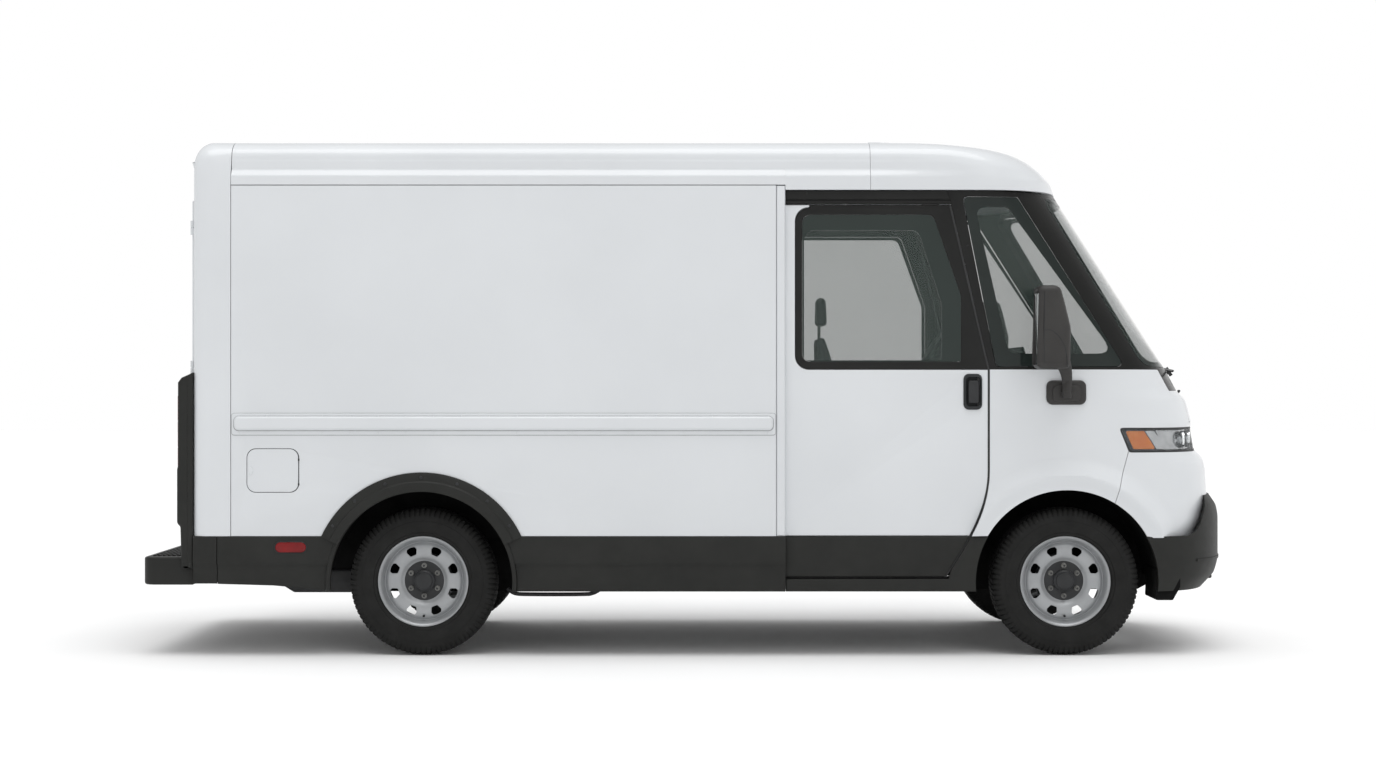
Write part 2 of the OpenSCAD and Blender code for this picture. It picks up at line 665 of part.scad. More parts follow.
module side_cladding() color("#26292b") {
    both_sides() {
        // Behind and ahead of the rear wheel, below the side panel
        plate_y(half - skin, half + 8) difference() {
            polygon([[rx - 1100, clad_top], [pocket_x + 2, clad_top], [pocket_x + 2, clad_bottom + 25],
                [rx + 420, clad_bottom], [rx - 420, clad_bottom], [rx - 1100, clad_bottom + 43]]);
            translate([rx, wheel_z]) circle(r = arch_r);
        }
        // Flare over the rear wheel
        plate_y(half, half + 26) intersection() {
            difference() {
                translate([rx, wheel_z]) circle(r = arch_r + flare_w);
                translate([rx, wheel_z]) circle(r = arch_r);
            }
            translate([rx - 700, clad_top]) square([1400, 900]);
        }
        // Corner behind the seam, back to the portal
        plate_y(half - skin, half + 8)
            translate([box_rear, clad_bottom + 43]) square([130 - 2, clad_top - clad_bottom - 43]);
        // Sill under the cab door, and the piece behind the front wheel
        plate_y(cab_half - 40, cab_half + 16) difference() {
            polygon([[pocket_x + 4, door_bottom - gap - 4], [pocket_x + 4, clad_bottom],
                [fx - 430, clad_bottom], [fx - 350, clad_top - 2], [fx - 600, clad_top - 2],
                [fx - 640, door_bottom - gap - 4]]);
            door_shape(gap);
            translate([fx, wheel_z]) circle(r = arch_r);
        }
    }
}
module rub_rails() color("#eef0f2") {
    both_sides() {
        plate_y(half, half + 5) round_rect([cap_seam + 4, 1196], [pocket_x - 52, 1312], 12);
        plate_y(half + 5, half + 22) round_rect([cap_seam + 14, 1222], [pocket_x - 62, 1296], 24);
        for (i = [0:17], z = [1206, 1304])
            bar_y(cap_seam + 60 + i * 168, z, 6, half + 5, half + 8);
    }
}
// Folding mirrors stand on a base on each fender, on an upright pin
mirror_pin = [fx - 10, cab_half + 62];
mirror_z = [1362, 1490];
module mirror_bases() color("#26292b") {
    both_sides() {
        plate_y(cab_half, cab_half + 22) round_rect([fx - 112, 1358], [fx + 102, 1490], 30);
        block([fx - 40, cab_half + 22, 1400], [fx + 30, cab_half + 50, 1430]);
        translate([mirror_pin[0], mirror_pin[1], 1394]) cylinder(r = 26, h = 36);
        translate([mirror_pin[0], mirror_pin[1], 1430]) cylinder(r = 9, h = 60);
    }
}
module mirror_head() {
    x0 = mirror_pin[0];
    y0 = mirror_pin[1];
    z0 = 1562;
    color("#383b3e") {
        difference() {
            translate([x0, y0, 1431]) cylinder(r = 26, h = 62);
            translate([x0, y0, 1430.5]) cylinder(r = 9 + pin_clear, h = 62);
        }
        // Arm, leaning out to the head
        plate_x_dir(x0 - 30, x0 + 10) polygon([[y0 - 20, 1493], [y0 + 26, 1493], [y0 + 120, z0 + 40],
            [y0 + 120, z0 + 90], [y0 + 70, z0 + 60]]);
        difference() {
            plate_y(y0 + 60, y0 + 270) polygon([[x0 - 186, z0 + 6], [x0 - 170, z0], [x0 - 20, z0],
                [x0, z0 + 20], [x0, z0 + 210], [x0 - 40, z0 + mirror_h - 40], [x0 - 80, z0 + mirror_h],
                [x0 - 150, z0 + mirror_h], [x0 - 176, z0 + mirror_h - 20]]);
            block([x0 - 190, y0 + 74, z0 + 18], [x0 - 164, y0 + 256, z0 + mirror_h - 24]);
        }
    }
    color("silver") block([x0 - 170, y0 + 76, z0 + 20], [x0 - 164, y0 + 254, z0 + mirror_h - 26]);
}
module mirror_left() mirror_head();
module mirror_right() right_side() mirror_head();

// ---------- charge flap, on the right side ----------
flap_hinge = [flap_x[1] + 3, half - 2];
flap_knuckles = [flap_z[0] + 50, flap_z[1] - 50];
module charge_inlet() color("#1f2123") right_side() {
    y0 = liner_y + liner_t + 2;
    difference() {
        block([flap_x[0] - 24, y0, flap_z[0] - 24], [flap_x[1] + 30, half - skin, flap_z[1] + 24]);
        block([flap_x[0] - 10, y0 + 5, flap_z[0] - 10], [flap_x[1] + 16, half, flap_z[1] + 10]);
    }
    difference() {
        bar_y(rx - 800, 1010, 62, y0 + 5, y0 + 26);
        bar_y(rx - 800, 1035, 18, y0 + 10, y0 + 30);
        for (s = [-1, 1])
            bar_y(rx - 800 + s * 18, 988, 12, y0 + 10, y0 + 30);
    }
    // Hinge lugs with a pin each
    for (z = flap_knuckles) {
        translate([flap_hinge[0], flap_hinge[1], z - 14]) cylinder(r = 4.5, h = 12);
        translate([flap_hinge[0], flap_hinge[1], z - 14]) cylinder(r = 2, h = 28);
        block([flap_hinge[0] - 1, y0 + 5, z - 14], [flap_hinge[0] + 4, flap_hinge[1], z - 2]);
    }
}
module charge_flap() color("#eef0f2") right_side() {
    difference() {
        plate_y(half - 12, half) round_rect([flap_x[0], flap_z[0]], [flap_x[1], flap_z[1]], 38);
        bar_y(flap_x[0] + 6, (flap_z[0] + flap_z[1]) / 2, 20, half - 13, half - 6);
        for (z = flap_knuckles)
            block([flap_x[1] - 8, half - 13, z - 15.5], [flap_x[1] + 1, half + 1, z + 15.5]);
    }
    for (z = flap_knuckles) difference() {
        union() {
            translate([flap_hinge[0], flap_hinge[1], z - 1.5]) cylinder(r = 4.5, h = 15);
            block([flap_x[1] - 10, half - 6, z - 1.5], [flap_hinge[0], half - 1, z + 13.5]);
        }
        translate([flap_hinge[0], flap_hinge[1], z - 15]) cylinder(r = 2 + pin_clear, h = 30);
    }
}

// ---------- wheels ----------
// Each wheel is drawn at the left, about its own centre, and set in place by its corner
module corner(front, left) {
    translate([front ? fx : rx, left ? track_half : -track_half, wheel_z])
        rotate([0, 0, left ? 0 : 180]) children();
}
module turned_y() {
    rotate([-90, 0, 0]) rotate_extrude() children();
}
// The tyre's beads sit this far in from its widest point
bead = 36;
module tyre() color("#1c1d1e") {
    ro = tyre_d / 2;
    ri = rim_d / 2;
    w = tyre_w / 2;
    turned_y() difference() {
        polygon([[ri, -w + bead], [ri + 16, -w + bead], [ri + 26, -w + 12], [ri + 70, -w], [ro - 70, -w + 2],
            [ro - 16, -w + 20], [ro - 2, -w + 38], [ro, 0], [ro - 2, w - 38], [ro - 16, w - 20],
            [ro - 70, w - 2], [ri + 70, w], [ri + 26, w - 12], [ri + 16, w - bead], [ri, w - bead],
            [ri, w - bead - 14], [ri + 20, w - bead - 10], [ro - 24, w - 50], [ro - 24, -w + 50],
            [ri + 20, -w + bead + 10], [ri, -w + bead + 14]]);
        for (y = [-w * 0.42, 0, w * 0.42])
            translate([ro - 9, y - 4]) square([12, 8]);
    }
}
hub_face = 34;
stud_r = 7;
module rim() color("#b4b7b9") {
    ri = rim_d / 2;
    w = tyre_w / 2 - bead;
    difference() {
        turned_y() {
            polygon([[ri, -w], [ri, -w + 30], [ri - 22, -w + 60], [ri - 22, w - 60], [ri, w - 30], [ri, w],
                [ri + 14, w + 4], [ri + 14, w + 9], [ri - 6, w + 4], [ri - 6, w - 28], [ri - 28, w - 58],
                [ri - 28, -w + 58], [ri - 6, -w + 28], [ri - 6, -w - 4],
                [ri + 14, -w - 9], [ri + 14, -w - 4]]);
            polygon([[66, hub_face], [106, hub_face], [122, hub_face + 14], [168, hub_face + 26],
                [ri - 27, hub_face - 2], [ri - 27, hub_face - 10], [166, hub_face + 16],
                [124, hub_face + 4], [110, hub_face - 8], [66, hub_face - 8]]);
        }
        for (i = [0:5])
            rotate([0, i * 60, 0]) bar_y(bolt_circle / 2, 0, stud_r + 0.5, hub_face - 20, hub_face + 20);
        // Eight windows, flat towards the hub
        for (i = [0:7])
            rotate([0, 22.5 + i * 45, 0]) translate([145, hub_face - 20, 0]) rotate([-90, 0, 0])
                linear_extrude(60) intersection() {
                    circle(r = 23);
                    translate([-14, -30]) square([60, 60]);
                }
    }
}
module hub() color("#2c2e30") {
    difference() {
        turned_y() polygon([[0, hub_face + 44], [44, hub_face + 44], [50, hub_face + 36], [60, hub_face + 30],
            [60, hub_face - 8], [108, hub_face - 8], [108, hub_face - 22], [70, hub_face - 24],
            [70, -14], [disc_d / 2, -14], [disc_d / 2, -36], [44, -36], [44, -44], [0, -44]]);
        bar_y(0, 0, spindle_d / 2 + pin_clear, -60, 46 + 1);
    }
    for (i = [0:5])
        rotate([0, i * 60, 0]) {
            translate([bolt_circle / 2, hub_face, 0]) rotate([-90, 0, 0]) cylinder(r = 14, h = 18, $fn = 6);
            bar_y(bolt_circle / 2, 0, stud_r, hub_face - 10, hub_face + 1);
        }
}
// Steering knuckle: barrel on the kingpin, spindle outwards, with the steering arm
module knuckle() color("#6a6d70") {
    translate([fx, kingpin_y, wheel_z - 82]) cylinder(r = 22, h = 164);
    translate([fx, kingpin_y, wheel_z - 106]) cylinder(r = kingpin_d / 2, h = 212);
    bar_y(fx, wheel_z, 34, kingpin_y - 20, track_half - 46);
    bar_y(fx, wheel_z, spindle_d / 2, kingpin_y, track_half + 45);
    block([fx - 110, kingpin_y - 12, wheel_z - 76], [fx, kingpin_y + 8, wheel_z - 60]);
}
module knuckle_left() knuckle();
module knuckle_right() right_side() knuckle();

// ---------- doors ----------
handle_x = [fx - 557, fx - 463];
handle_z = [1330, 1525];
handle_pin = [handle_x[1] - 16, cab_half - 10];
module cab_door() {
    color("#f2f4f6") difference() {
        plate_y(cab_half - door_t, cab_half) difference() {
            door_shape(0);
            window_shape(0);
        }
        // Handle recess
        plate_y(cab_half - 26, cab_half + 1) round_rect([handle_x[0] + 10, handle_z[0] + 12],
            [handle_x[1] - 10, handle_z[1] - 12], 24);
        block([handle_pin[0] - 9, cab_half - 26, handle_z[0] + 20],
            [handle_pin[0] + 14, cab_half + 1, handle_z[1] - 20]);
    }
    // Hangers that run on the track
    for (x = [door_back + 60, fx - 780]) difference() {
        block([x, track_y - 14, door_top - 1], [x + 90, track_y + 14, door_top + 42]);
        block([x - 1, track_y - 6, door_top + 8], [x + 91, track_y + 6, door_top + 43]);
    }
    // Pins that the outside handle turns on
    for (z = [handle_z[0] + 22, handle_z[1] - 34])
        translate([handle_pin[0], handle_pin[1], z - 4]) cylinder(r = 4, h = 16);
}
module cab_door_left() cab_door();
module cab_door_right() right_side() cab_door();
module door_glass() color("#5f6c68", 0.5) {
    plate_y(cab_half - 22, cab_half - 22 + glass_t) window_shape(-0.5);
}
module door_glass_left() door_glass();
module door_glass_right() right_side() door_glass();
module door_handle() color("#1d1f20") {
    difference() {
        union() {
            block([handle_x[0] + 24, cab_half - 4, handle_z[0] + 36],
                [handle_pin[0] + 4, cab_half + 10, handle_z[1] - 36]);
            translate([handle_pin[0], handle_pin[1], handle_z[0] + 36])
                cylinder(r = 7.5, h = handle_z[1] - handle_z[0] - 72);
            block([handle_pin[0] - 7, handle_pin[1], handle_z[0] + 36],
                [handle_pin[0] + 7, cab_half, handle_z[1] - 36]);
        }
        translate([handle_pin[0], handle_pin[1], handle_z[0]]) cylinder(r = 4 + pin_clear, h = 300);
    }
}
module door_handle_left() door_handle();
module door_handle_right() right_side() door_handle();
rear_hinge = [box_rear - 26, doorway_half + 62];
rear_knuckles = [clad_top + 160, 1560, portal_top - 120];
module rear_door(latch) {
    x1 = box_rear - 1;
    color("#eef0f2") {
        difference() {
            block([x1 - rear_door_t, 2, clad_top + 20], [x1, doorway_half + 28, portal_top + 30]);
            block([x1 - rear_door_t - 1, 190, 1660], [x1 + 1, doorway_half - 150, portal_top - 190]);
            if (latch) bar_x(70, 1290, 8 + pin_clear, x1 - rear_door_t - 1, x1 + 1);
            else for (y = [430 - plate_x / 2, 430 + plate_x / 2], z = [900 - plate_z / 2, 900 + plate_z / 2])
                bar_x(y, z, 3.5, x1 - rear_door_t - 1, x1 + 1);
        }
        block([x1 - rear_door_t / 2 - 4, 189, 1659],
            [x1 - rear_door_t / 2 + 4, doorway_half - 149, portal_top - 189]);
        for (z = rear_knuckles) difference() {
            union() {
                translate([rear_hinge[0], rear_hinge[1], z - 1]) cylinder(r = 13, h = 38);
                block([x1 - 29, doorway_half + 20, z - 1], [x1 - 17, rear_hinge[1], z + 37]);
            }
            translate([rear_hinge[0], rear_hinge[1], z - 50]) cylinder(r = 6 + pin_clear, h = 90);
        }
    }
}
module rear_door_left() rear_door(false);
module rear_door_right() right_side() rear_door(true);
module rear_latch() color("#2b2d2f") right_side() {
    x0 = box_rear - 1 - rear_door_t;
    bar_x(70, 1290, 8, x0 - 20, box_rear + 6);
    bar_x(70, 1290, 24, x0 - 12, x0 - 1);
    block([x0 - 34, 58, 1262], [x0 - 12, 82, 1420]);
    block([box_rear + 1, 60, 1280], [box_rear + 9, 112, 1300]);
}

// ---------- wipers and hood ----------
// The wipers turn in planes that just clear the bowed windshield, so each axis leans a little outwards.
// In the windshield's own frame x runs down the glass, y across it and z out of it.
glass_rise = header_z - belt_z;
slant = atan2(glass_levels[0][1] - glass_levels[1][1], glass_rise);
bow_depth = glass_levels[0][2] * cos(slant);
wiper_pivots = [560, -80];
wiper_clear = 4;
wiper_drop = 34;
function bow_left(y) = 1 - pow(abs(y) / cab_half, bow_order);
function glass_height(y) = bow_depth * (pow(bow_left(y), 1 / bow_order) - 1);
function glass_slope(y) =
    -bow_depth * y * abs(y) / pow(cab_half, bow_order) / pow(bow_left(y), 2 / bow_order);
module on_glass(y0) {
    ym = y0 - blade_l / 2;
    translate([fx + glass_levels[0][1], 0, belt_z]) rotate([0, 90 - slant, 0])
        translate([wiper_drop, y0, glass_height(ym) + glass_slope(ym) * (y0 - ym) + wiper_clear])
            rotate([atan(glass_slope(ym)), 0, 0]) children();
}
module wiper_post(y0) {
    on_glass(y0) {
        translate([0, 0, -50]) cylinder(r = 13, h = 49.5);
        translate([0, 0, -1]) cylinder(r = 6, h = 20);
    }
}
module wiper(y0) color("#1a1b1c") on_glass(y0) difference() {
    union() {
        cylinder(r = 16, h = 26);
        // Arm and blade lie along the windshield's base, towards the right
        translate([-8, -blade_l * 0.55, 17]) cube([16, blade_l * 0.55, 7]);
        translate([-44, -blade_l * 0.55 - 6, 6]) cube([52, 18, 18]);
        translate([-44, -blade_l - 30, 0]) cube([9, blade_l, 12]);
    }
    translate([0, 0, -1]) cylinder(r = 6 + pin_clear, h = 22);
}
module wiper_left() wiper(wiper_pivots[0]);
module wiper_right() wiper(wiper_pivots[1]);

// ---------- inside the cab ----------
seat_y = 430;
seat_x = fx - 1220;
cushion_z = 1060;
column_top = [fx - 519, seat_y, 1764];
column_tilt = 35;
module dashboard() color("#2e3134") {
    difference() {
        plate_y(-930, 930) polygon([[fx + 180, 1240], [fx - 110, 1240], [fx - 200, 1330], [fx - 230, 1500],
            [fx - 190, 1580], [fx - 60, 1600], [fx + 180, 1540]]);
        block([fx - 260, -700, 1360], [fx - 120, -200, 1480]);
    }
    // Instrument pod and steering column
    plate_y(seat_y - 190, seat_y + 190) polygon([
        [fx - 200, 1578], [fx - 170, 1680], [fx - 60, 1690], [fx - 30, 1590]]);
    difference() {
        translate(column_top) rotate([0, 90 + column_tilt, 0]) translate([0, 0, 60])
            cylinder(r = 34, h = 360);
        translate(column_top) rotate([0, 90 + column_tilt, 0]) cylinder(r = 14 + pin_clear, h = 400);
    }
    // Pedal bracket with its cross pin
    both_ends = [seat_y - 150, seat_y + 30];
    block([fx - 150, both_ends[0] - 10, 1100], [fx - 110, both_ends[0], 1240]);
    block([fx - 150, both_ends[1], 1100], [fx - 110, both_ends[1] + 10, 1240]);
    bar_y(fx - 130, 1120, 8, both_ends[0], both_ends[1]);
}
module steering_wheel() color("#1d1f20") {
    translate(column_top) rotate([0, 90 + column_tilt, 0]) {
        rotate_extrude() translate([steering_d / 2 - 15, 0]) circle(r = 15);
        translate([0, 0, -10]) cylinder(r = 55, h = 34);
        for (a = [90, 210, 330])
            rotate([0, 0, a]) translate([30, -16, 2]) cube([steering_d / 2 - 44, 32, 12]);
        translate([0, 0, 20]) cylinder(r = 14, h = 200);
    }
}
module driver_seat() color("#2b2d30") {
    w = seat_w / 2;
    plate_y(seat_y - w, seat_y + w) round_rect([seat_x + 60, cushion_z], [seat_x + 540, cushion_z + 120], 40);
    block([seat_x + 90, seat_y - w + 60, floor_z + 34], [seat_x + 480, seat_y + w - 60, cushion_z]);
    // Ears that carry the backrest's hinge
    for (y = [seat_y - w - 12, seat_y + w + 2])
        difference() {
            plate_y(y, y + 10) round_rect([seat_x + 20, cushion_z + 10], [seat_x + 140, cushion_z + 110], 20);
            bar_y(seat_x + 52, cushion_z + 78, 8 + pin_clear, y - 1, y + 11);
        }
    for (y = [seat_y - w - 2, seat_y + w])
        bar_y(seat_x + 110, cushion_z + 40, 8, y, y + 2);
}
module seat_back() color("#2b2d30") {
    w = seat_w / 2 - 12;
    plate_y(seat_y - w, seat_y + w) polygon([[seat_x + 30, cushion_z + 60], [seat_x + 54, cushion_z + 124],
        [seat_x + 100, cushion_z + 150], [seat_x + 30, 1600], [seat_x - 20, 1760], [seat_x - 70, 1750],
        [seat_x - 60, 1500], [seat_x, cushion_z + 60]]);
    plate_y(seat_y - 130, seat_y + 130) polygon([[seat_x - 62, 1800], [seat_x + 6, 1800],
        [seat_x - 4, 1990], [seat_x - 60, 1996]]);
    for (y = [-60, 60])
        translate([seat_x - 40, seat_y + y, 1740]) cylinder(r = 7, h = 70);
    bar_y(seat_x + 52, cushion_z + 78, 8, seat_y - seat_w / 2 - 12, seat_y + seat_w / 2 + 12);
}
module pedal(y, w) {
    bar_w = 18;
    difference() {
        union() {
            bar_y(fx - 130, 1120, 18, y - bar_w / 2, y + bar_w / 2);
            plate_y(y - bar_w / 2, y + bar_w / 2) polygon([[fx - 146, 1120], [fx - 114, 1120],
                [fx - 190, 840], [fx - 210, 850]]);
        }
        bar_y(fx - 130, 1120, 8 + pin_clear, y - 40, y + 40);
    }
    plate_y(y - w / 2, y + w / 2) polygon([
        [fx - 196, 846], [fx - 214, 790], [fx - 226, 794], [fx - 208, 852]]);
}
module brake_pedal() color("#2c2e30") pedal(seat_y - 50, 90);
module accelerator_pedal() color("#2c2e30") pedal(seat_y - 125, 56);

// ---------- drawing ----------
chassis_frame();
battery_pack();
drive_unit();
suspension();
floor();
wheel_liners();
cargo_side_right();
cargo_side_left();
cargo_roof();
rear_portal();
inner_walls();
cab_roof_cap();
cab_shell();
window_pillars();
cab_glass();
headlamps();
front_bumper();
rear_step();
corner_guards();
tail_lamps();
clearance_lamps();
side_cladding();
rub_rails();
dashboard();
mirror_bases();
charge_inlet();
for (end = ["f", "r"], side = ["l", "r"]) {
    corner(end == "f", side == "l") tyre();
    corner(end == "f", side == "l") rim();
    corner(end == "f", side == "l") hub();
}
knuckle_left();
knuckle_right();
cab_door_left();
cab_door_right();
door_glass_left();
door_glass_right();
door_handle_left();
door_handle_right();
rear_door_left();
rear_door_right();
rear_latch();
charge_flap();
mirror_left();
mirror_right();
wiper_left();
wiper_right();
hood();
steering_wheel();
driver_seat();
seat_back();
brake_pedal();
accelerator_pedal();
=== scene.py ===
"""Looks of the mail delivery truck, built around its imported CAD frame. All lengths are in metres."""
import math
import bmesh
import bpy
import numpy as np
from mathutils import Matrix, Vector
from mathutils.geometry import tessellate_polygon


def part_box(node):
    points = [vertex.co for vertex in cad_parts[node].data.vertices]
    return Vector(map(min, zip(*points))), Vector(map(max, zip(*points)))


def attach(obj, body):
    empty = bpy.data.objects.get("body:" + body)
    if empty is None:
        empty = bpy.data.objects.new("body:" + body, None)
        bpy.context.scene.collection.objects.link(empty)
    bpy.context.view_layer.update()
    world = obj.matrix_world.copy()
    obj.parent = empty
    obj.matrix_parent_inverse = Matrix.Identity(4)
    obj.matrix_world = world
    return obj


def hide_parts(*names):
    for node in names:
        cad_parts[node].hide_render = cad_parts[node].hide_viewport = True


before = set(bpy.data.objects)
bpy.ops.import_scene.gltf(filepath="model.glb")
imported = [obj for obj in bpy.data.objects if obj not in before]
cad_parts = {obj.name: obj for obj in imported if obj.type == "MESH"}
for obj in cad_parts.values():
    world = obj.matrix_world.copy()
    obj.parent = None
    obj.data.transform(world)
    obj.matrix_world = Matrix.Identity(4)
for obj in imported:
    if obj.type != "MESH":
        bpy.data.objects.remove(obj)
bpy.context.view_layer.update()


# ---------- places that come from the frame ----------
def low(node):
    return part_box(node)[0]


def high(node):
    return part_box(node)[1]


def middle(node):
    return (low(node) + high(node)) / 2


FRONT_AXLE = middle("rim_fr").x
REAR_AXLE = middle("rim_rr").x
WHEEL_Z = middle("rim_fr").z
TRACK_HALF = middle("tyre_fl").y
TYRE_R = high("tyre_fl").z - WHEEL_Z
TYRE_HALF = (high("tyre_fl").y - low("tyre_fl").y) / 2
HALF = high("cargo_side_left").y
CAB_HALF = HALF - 0.032
REAR_SEAM = low("cargo_roof").x
ROOF_SEAM = high("cargo_roof").x
POCKET = high("cargo_side_left").x
BOX_REAR = low("side_cladding").x
CLAD_TOP = low("cargo_side_left").z
SIDE_TOP = high("cargo_side_left").z
HEADER = low("cargo_roof").z
ROOF = high("cargo_roof").z
STEP_LOW, STEP_HIGH = low("rear_step"), high("rear_step")
SEAT_Y = middle("driver_seat").y

# ---------- sizes of the looks ----------
BELT = 1.548
SKIN = 0.020
GAP = 0.006
ARCH_R = 0.498
REAR_ARCH_R = 0.490
SEAM = 0.002
WELD = 1e-5
FULL_VOXEL = 0.006
CLOTH_FRAMES = 20
DOOR_BACK = POCKET - 0.030
DOOR_LOW = 0.429
DOOR_TOP = HEADER - 0.080
DOOR_FRONT = FRONT_AXLE - 0.422
DOOR_T = 0.040
SIDES = {"left": 1, "right": -1}
WHEELS = {"fl": (1, 1), "fr": (1, -1), "rl": (-1, 1), "rr": (-1, -1)}


# ---------- materials ----------
def material(name, dark, light, spread=3.0, rough=(0.4, 0.5), grain=(500.0, 0.1), fixed=None):
    """A principled shader with mottled colour, uneven roughness and a fine bump."""
    made = bpy.data.materials.new(name)
    made.use_nodes = True
    nodes, links = made.node_tree.nodes, made.node_tree.links
    shader = nodes["Principled BSDF"]
    place = nodes.new("ShaderNodeTexCoord")
    mottle = nodes.new("ShaderNodeTexNoise")
    mottle.inputs["Scale"].default_value = spread
    mottle.inputs["Detail"].default_value = 6.0
    tone = nodes.new("ShaderNodeValToRGB")
    tone.color_ramp.elements[0].position = 0.3
    tone.color_ramp.elements[1].position = 0.7
    tone.color_ramp.elements[0].color = (*dark, 1)
    tone.color_ramp.elements[1].color = (*light, 1)
    smear = nodes.new("ShaderNodeTexNoise")
    smear.inputs["Scale"].default_value = spread * 5
    gloss = nodes.new("ShaderNodeMapRange")
    gloss.inputs["To Min"].default_value = rough[0]
    gloss.inputs["To Max"].default_value = rough[1]
    fine = nodes.new("ShaderNodeTexNoise")
    fine.inputs["Scale"].default_value = grain[0]
    fine.inputs["Detail"].default_value = 3.0
    bump = nodes.new("ShaderNodeBump")
    bump.inputs["Strength"].default_value = grain[1]
    bump.inputs["Distance"].default_value = 0.001
    for texture in (mottle, smear, fine):
        links.new(place.outputs["Object"], texture.inputs["Vector"])
    links.new(mottle.outputs["Fac"], tone.inputs["Fac"])
    links.new(tone.outputs["Color"], shader.inputs["Base Color"])
    links.new(smear.outputs["Fac"], gloss.inputs["Value"])
    links.new(gloss.outputs["Result"], shader.inputs["Roughness"])
    links.new(fine.outputs["Fac"], bump.inputs["Height"])
    links.new(bump.outputs["Normal"], shader.inputs["Normal"])
    for socket, value in (fixed or {}).items():
        shader.inputs[socket].default_value = value
    return made


def woven(name, dark, light, pitch):
    """Cloth: two crossed sets of threads, over the mottled base."""
    made = material(name, dark, light, 8.0, (0.8, 0.95), (300.0, 0.2),
                    {"Sheen Weight": 0.3, "Sheen Roughness": 0.5})
    nodes, links = made.node_tree.nodes, made.node_tree.links
    place = nodes.new("ShaderNodeTexCoord")
    threads = []
    for direction in ("X", "Y", "Z"):
        wave = nodes.new("ShaderNodeTexWave")
        wave.bands_direction = direction
        wave.inputs["Scale"].default_value = pitch
        wave.inputs["Distortion"].default_value = 0.4
        links.new(place.outputs["Object"], wave.inputs["Vector"])
        threads.append(wave)
    first = nodes.new("ShaderNodeMath")
    first.operation = "MAXIMUM"
    second = nodes.new("ShaderNodeMath")
    second.operation = "MAXIMUM"
    links.new(threads[0].outputs["Fac"], first.inputs[0])
    links.new(threads[1].outputs["Fac"], first.inputs[1])
    links.new(first.outputs[0], second.inputs[0])
    links.new(threads[2].outputs["Fac"], second.inputs[1])
    weave = nodes.new("ShaderNodeBump")
    weave.inputs["Strength"].default_value = 0.5
    weave.inputs["Distance"].default_value = 0.0012
    old = nodes["Bump"]
    links.new(second.outputs[0], weave.inputs["Height"])
    links.new(old.outputs["Normal"], weave.inputs["Normal"])
    links.new(weave.outputs["Normal"], nodes["Principled BSDF"].inputs["Normal"])
    return made


GLOSS_COAT = {"Coat Weight": 0.5, "Coat Roughness": 0.06, "Specular IOR Level": 0.45}
WHITE = material("white_paint", (0.625, 0.645, 0.665), (0.655, 0.675, 0.695), 1.6, (0.34, 0.42),
                 (900.0, 0.025), GLOSS_COAT)
CLADDING = material("black_cladding", (0.0105, 0.011, 0.0098), (0.0155, 0.016, 0.0142), 5.0,
                    (0.46, 0.6), (700.0, 0.35), {"Specular IOR Level": 0.28})
PILLAR = material("gloss_black", (0.0090, 0.0092, 0.0088), (0.013, 0.0132, 0.0125), 4.0, (0.2, 0.3),
                  (600.0, 0.03), {"Specular IOR Level": 0.2})
FRIT = material("frit_glass", (0.014, 0.019, 0.0175), (0.018, 0.024, 0.022), 4.0, (0.04, 0.09),
                (300.0, 0.01), {"Specular IOR Level": 0.25})
GLASS = material("tinted_glass", (0.07, 0.095, 0.085), (0.085, 0.11, 0.1), 2.0, (0.02, 0.05),
                 (200.0, 0.008), {"Alpha": 0.27, "Specular IOR Level": 0.5})
DARK_GLASS = material("shaded_glass", (0.018, 0.0265, 0.0235), (0.022, 0.031, 0.028), 2.0, (0.03, 0.06),
                      (200.0, 0.01), {"Specular IOR Level": 0.3})
CHASSIS = material("chassis_paint", (0.010, 0.010, 0.011), (0.02, 0.02, 0.021), 7.0, (0.45, 0.7),
                   (350.0, 0.25))
# Grey for painted shade in gaps: the thin rings round the rub rails and the sheet behind the fender seam.
GAP_SHADE = material("painted_gap_shade", (0.22, 0.23, 0.235), (0.30, 0.31, 0.315), 9.0, (0.6, 0.75), (500.0, 0.3))
LINER = material("liner_felt", (0.004, 0.004, 0.004), (0.009, 0.009, 0.009), 9.0, (0.85, 0.95),
                 (900.0, 0.5), {"Specular IOR Level": 0.1})
ALLOY = material("cast_alloy", (0.32, 0.33, 0.34), (0.46, 0.47, 0.48), 12.0, (0.45, 0.62),
                 (420.0, 0.5), {"Metallic": 0.85})
CASE = material("battery_case", (0.10, 0.104, 0.108), (0.15, 0.154, 0.158), 5.0, (0.4, 0.55),
                (500.0, 0.2), {"Metallic": 0.6})
IRON = material("forged_iron", (0.06, 0.06, 0.062), (0.11, 0.108, 0.105), 14.0, (0.5, 0.7),
                (260.0, 0.6), {"Metallic": 0.7})
RUBBER = material("tyre_rubber", (0.0075, 0.0076, 0.0072), (0.0125, 0.0125, 0.012), 11.0, (0.6, 0.78),
                  (420.0, 0.35), {"Specular IOR Level": 0.22})
SILVER = material("wheel_silver", (0.30, 0.31, 0.32), (0.36, 0.37, 0.38), 6.0, (0.34, 0.46),
                  (1500.0, 0.12), {"Metallic": 0.45, "Coat Weight": 0.3, "Coat Roughness": 0.15})
HUB = material("hub_black", (0.014, 0.015, 0.016), (0.024, 0.025, 0.027), 12.0, (0.3, 0.45),
               (500.0, 0.15), {"Specular IOR Level": 0.35})
NUT = material("zinc_nut", (0.12, 0.12, 0.115), (0.2, 0.2, 0.19), 30.0, (0.3, 0.45), (600.0, 0.2),
               {"Metallic": 0.8})
MIRROR = material("mirror_plastic", (0.030, 0.0285, 0.0275), (0.038, 0.0365, 0.035), 6.0,
                  (0.42, 0.55), (800.0, 0.3), {"Specular IOR Level": 0.3})
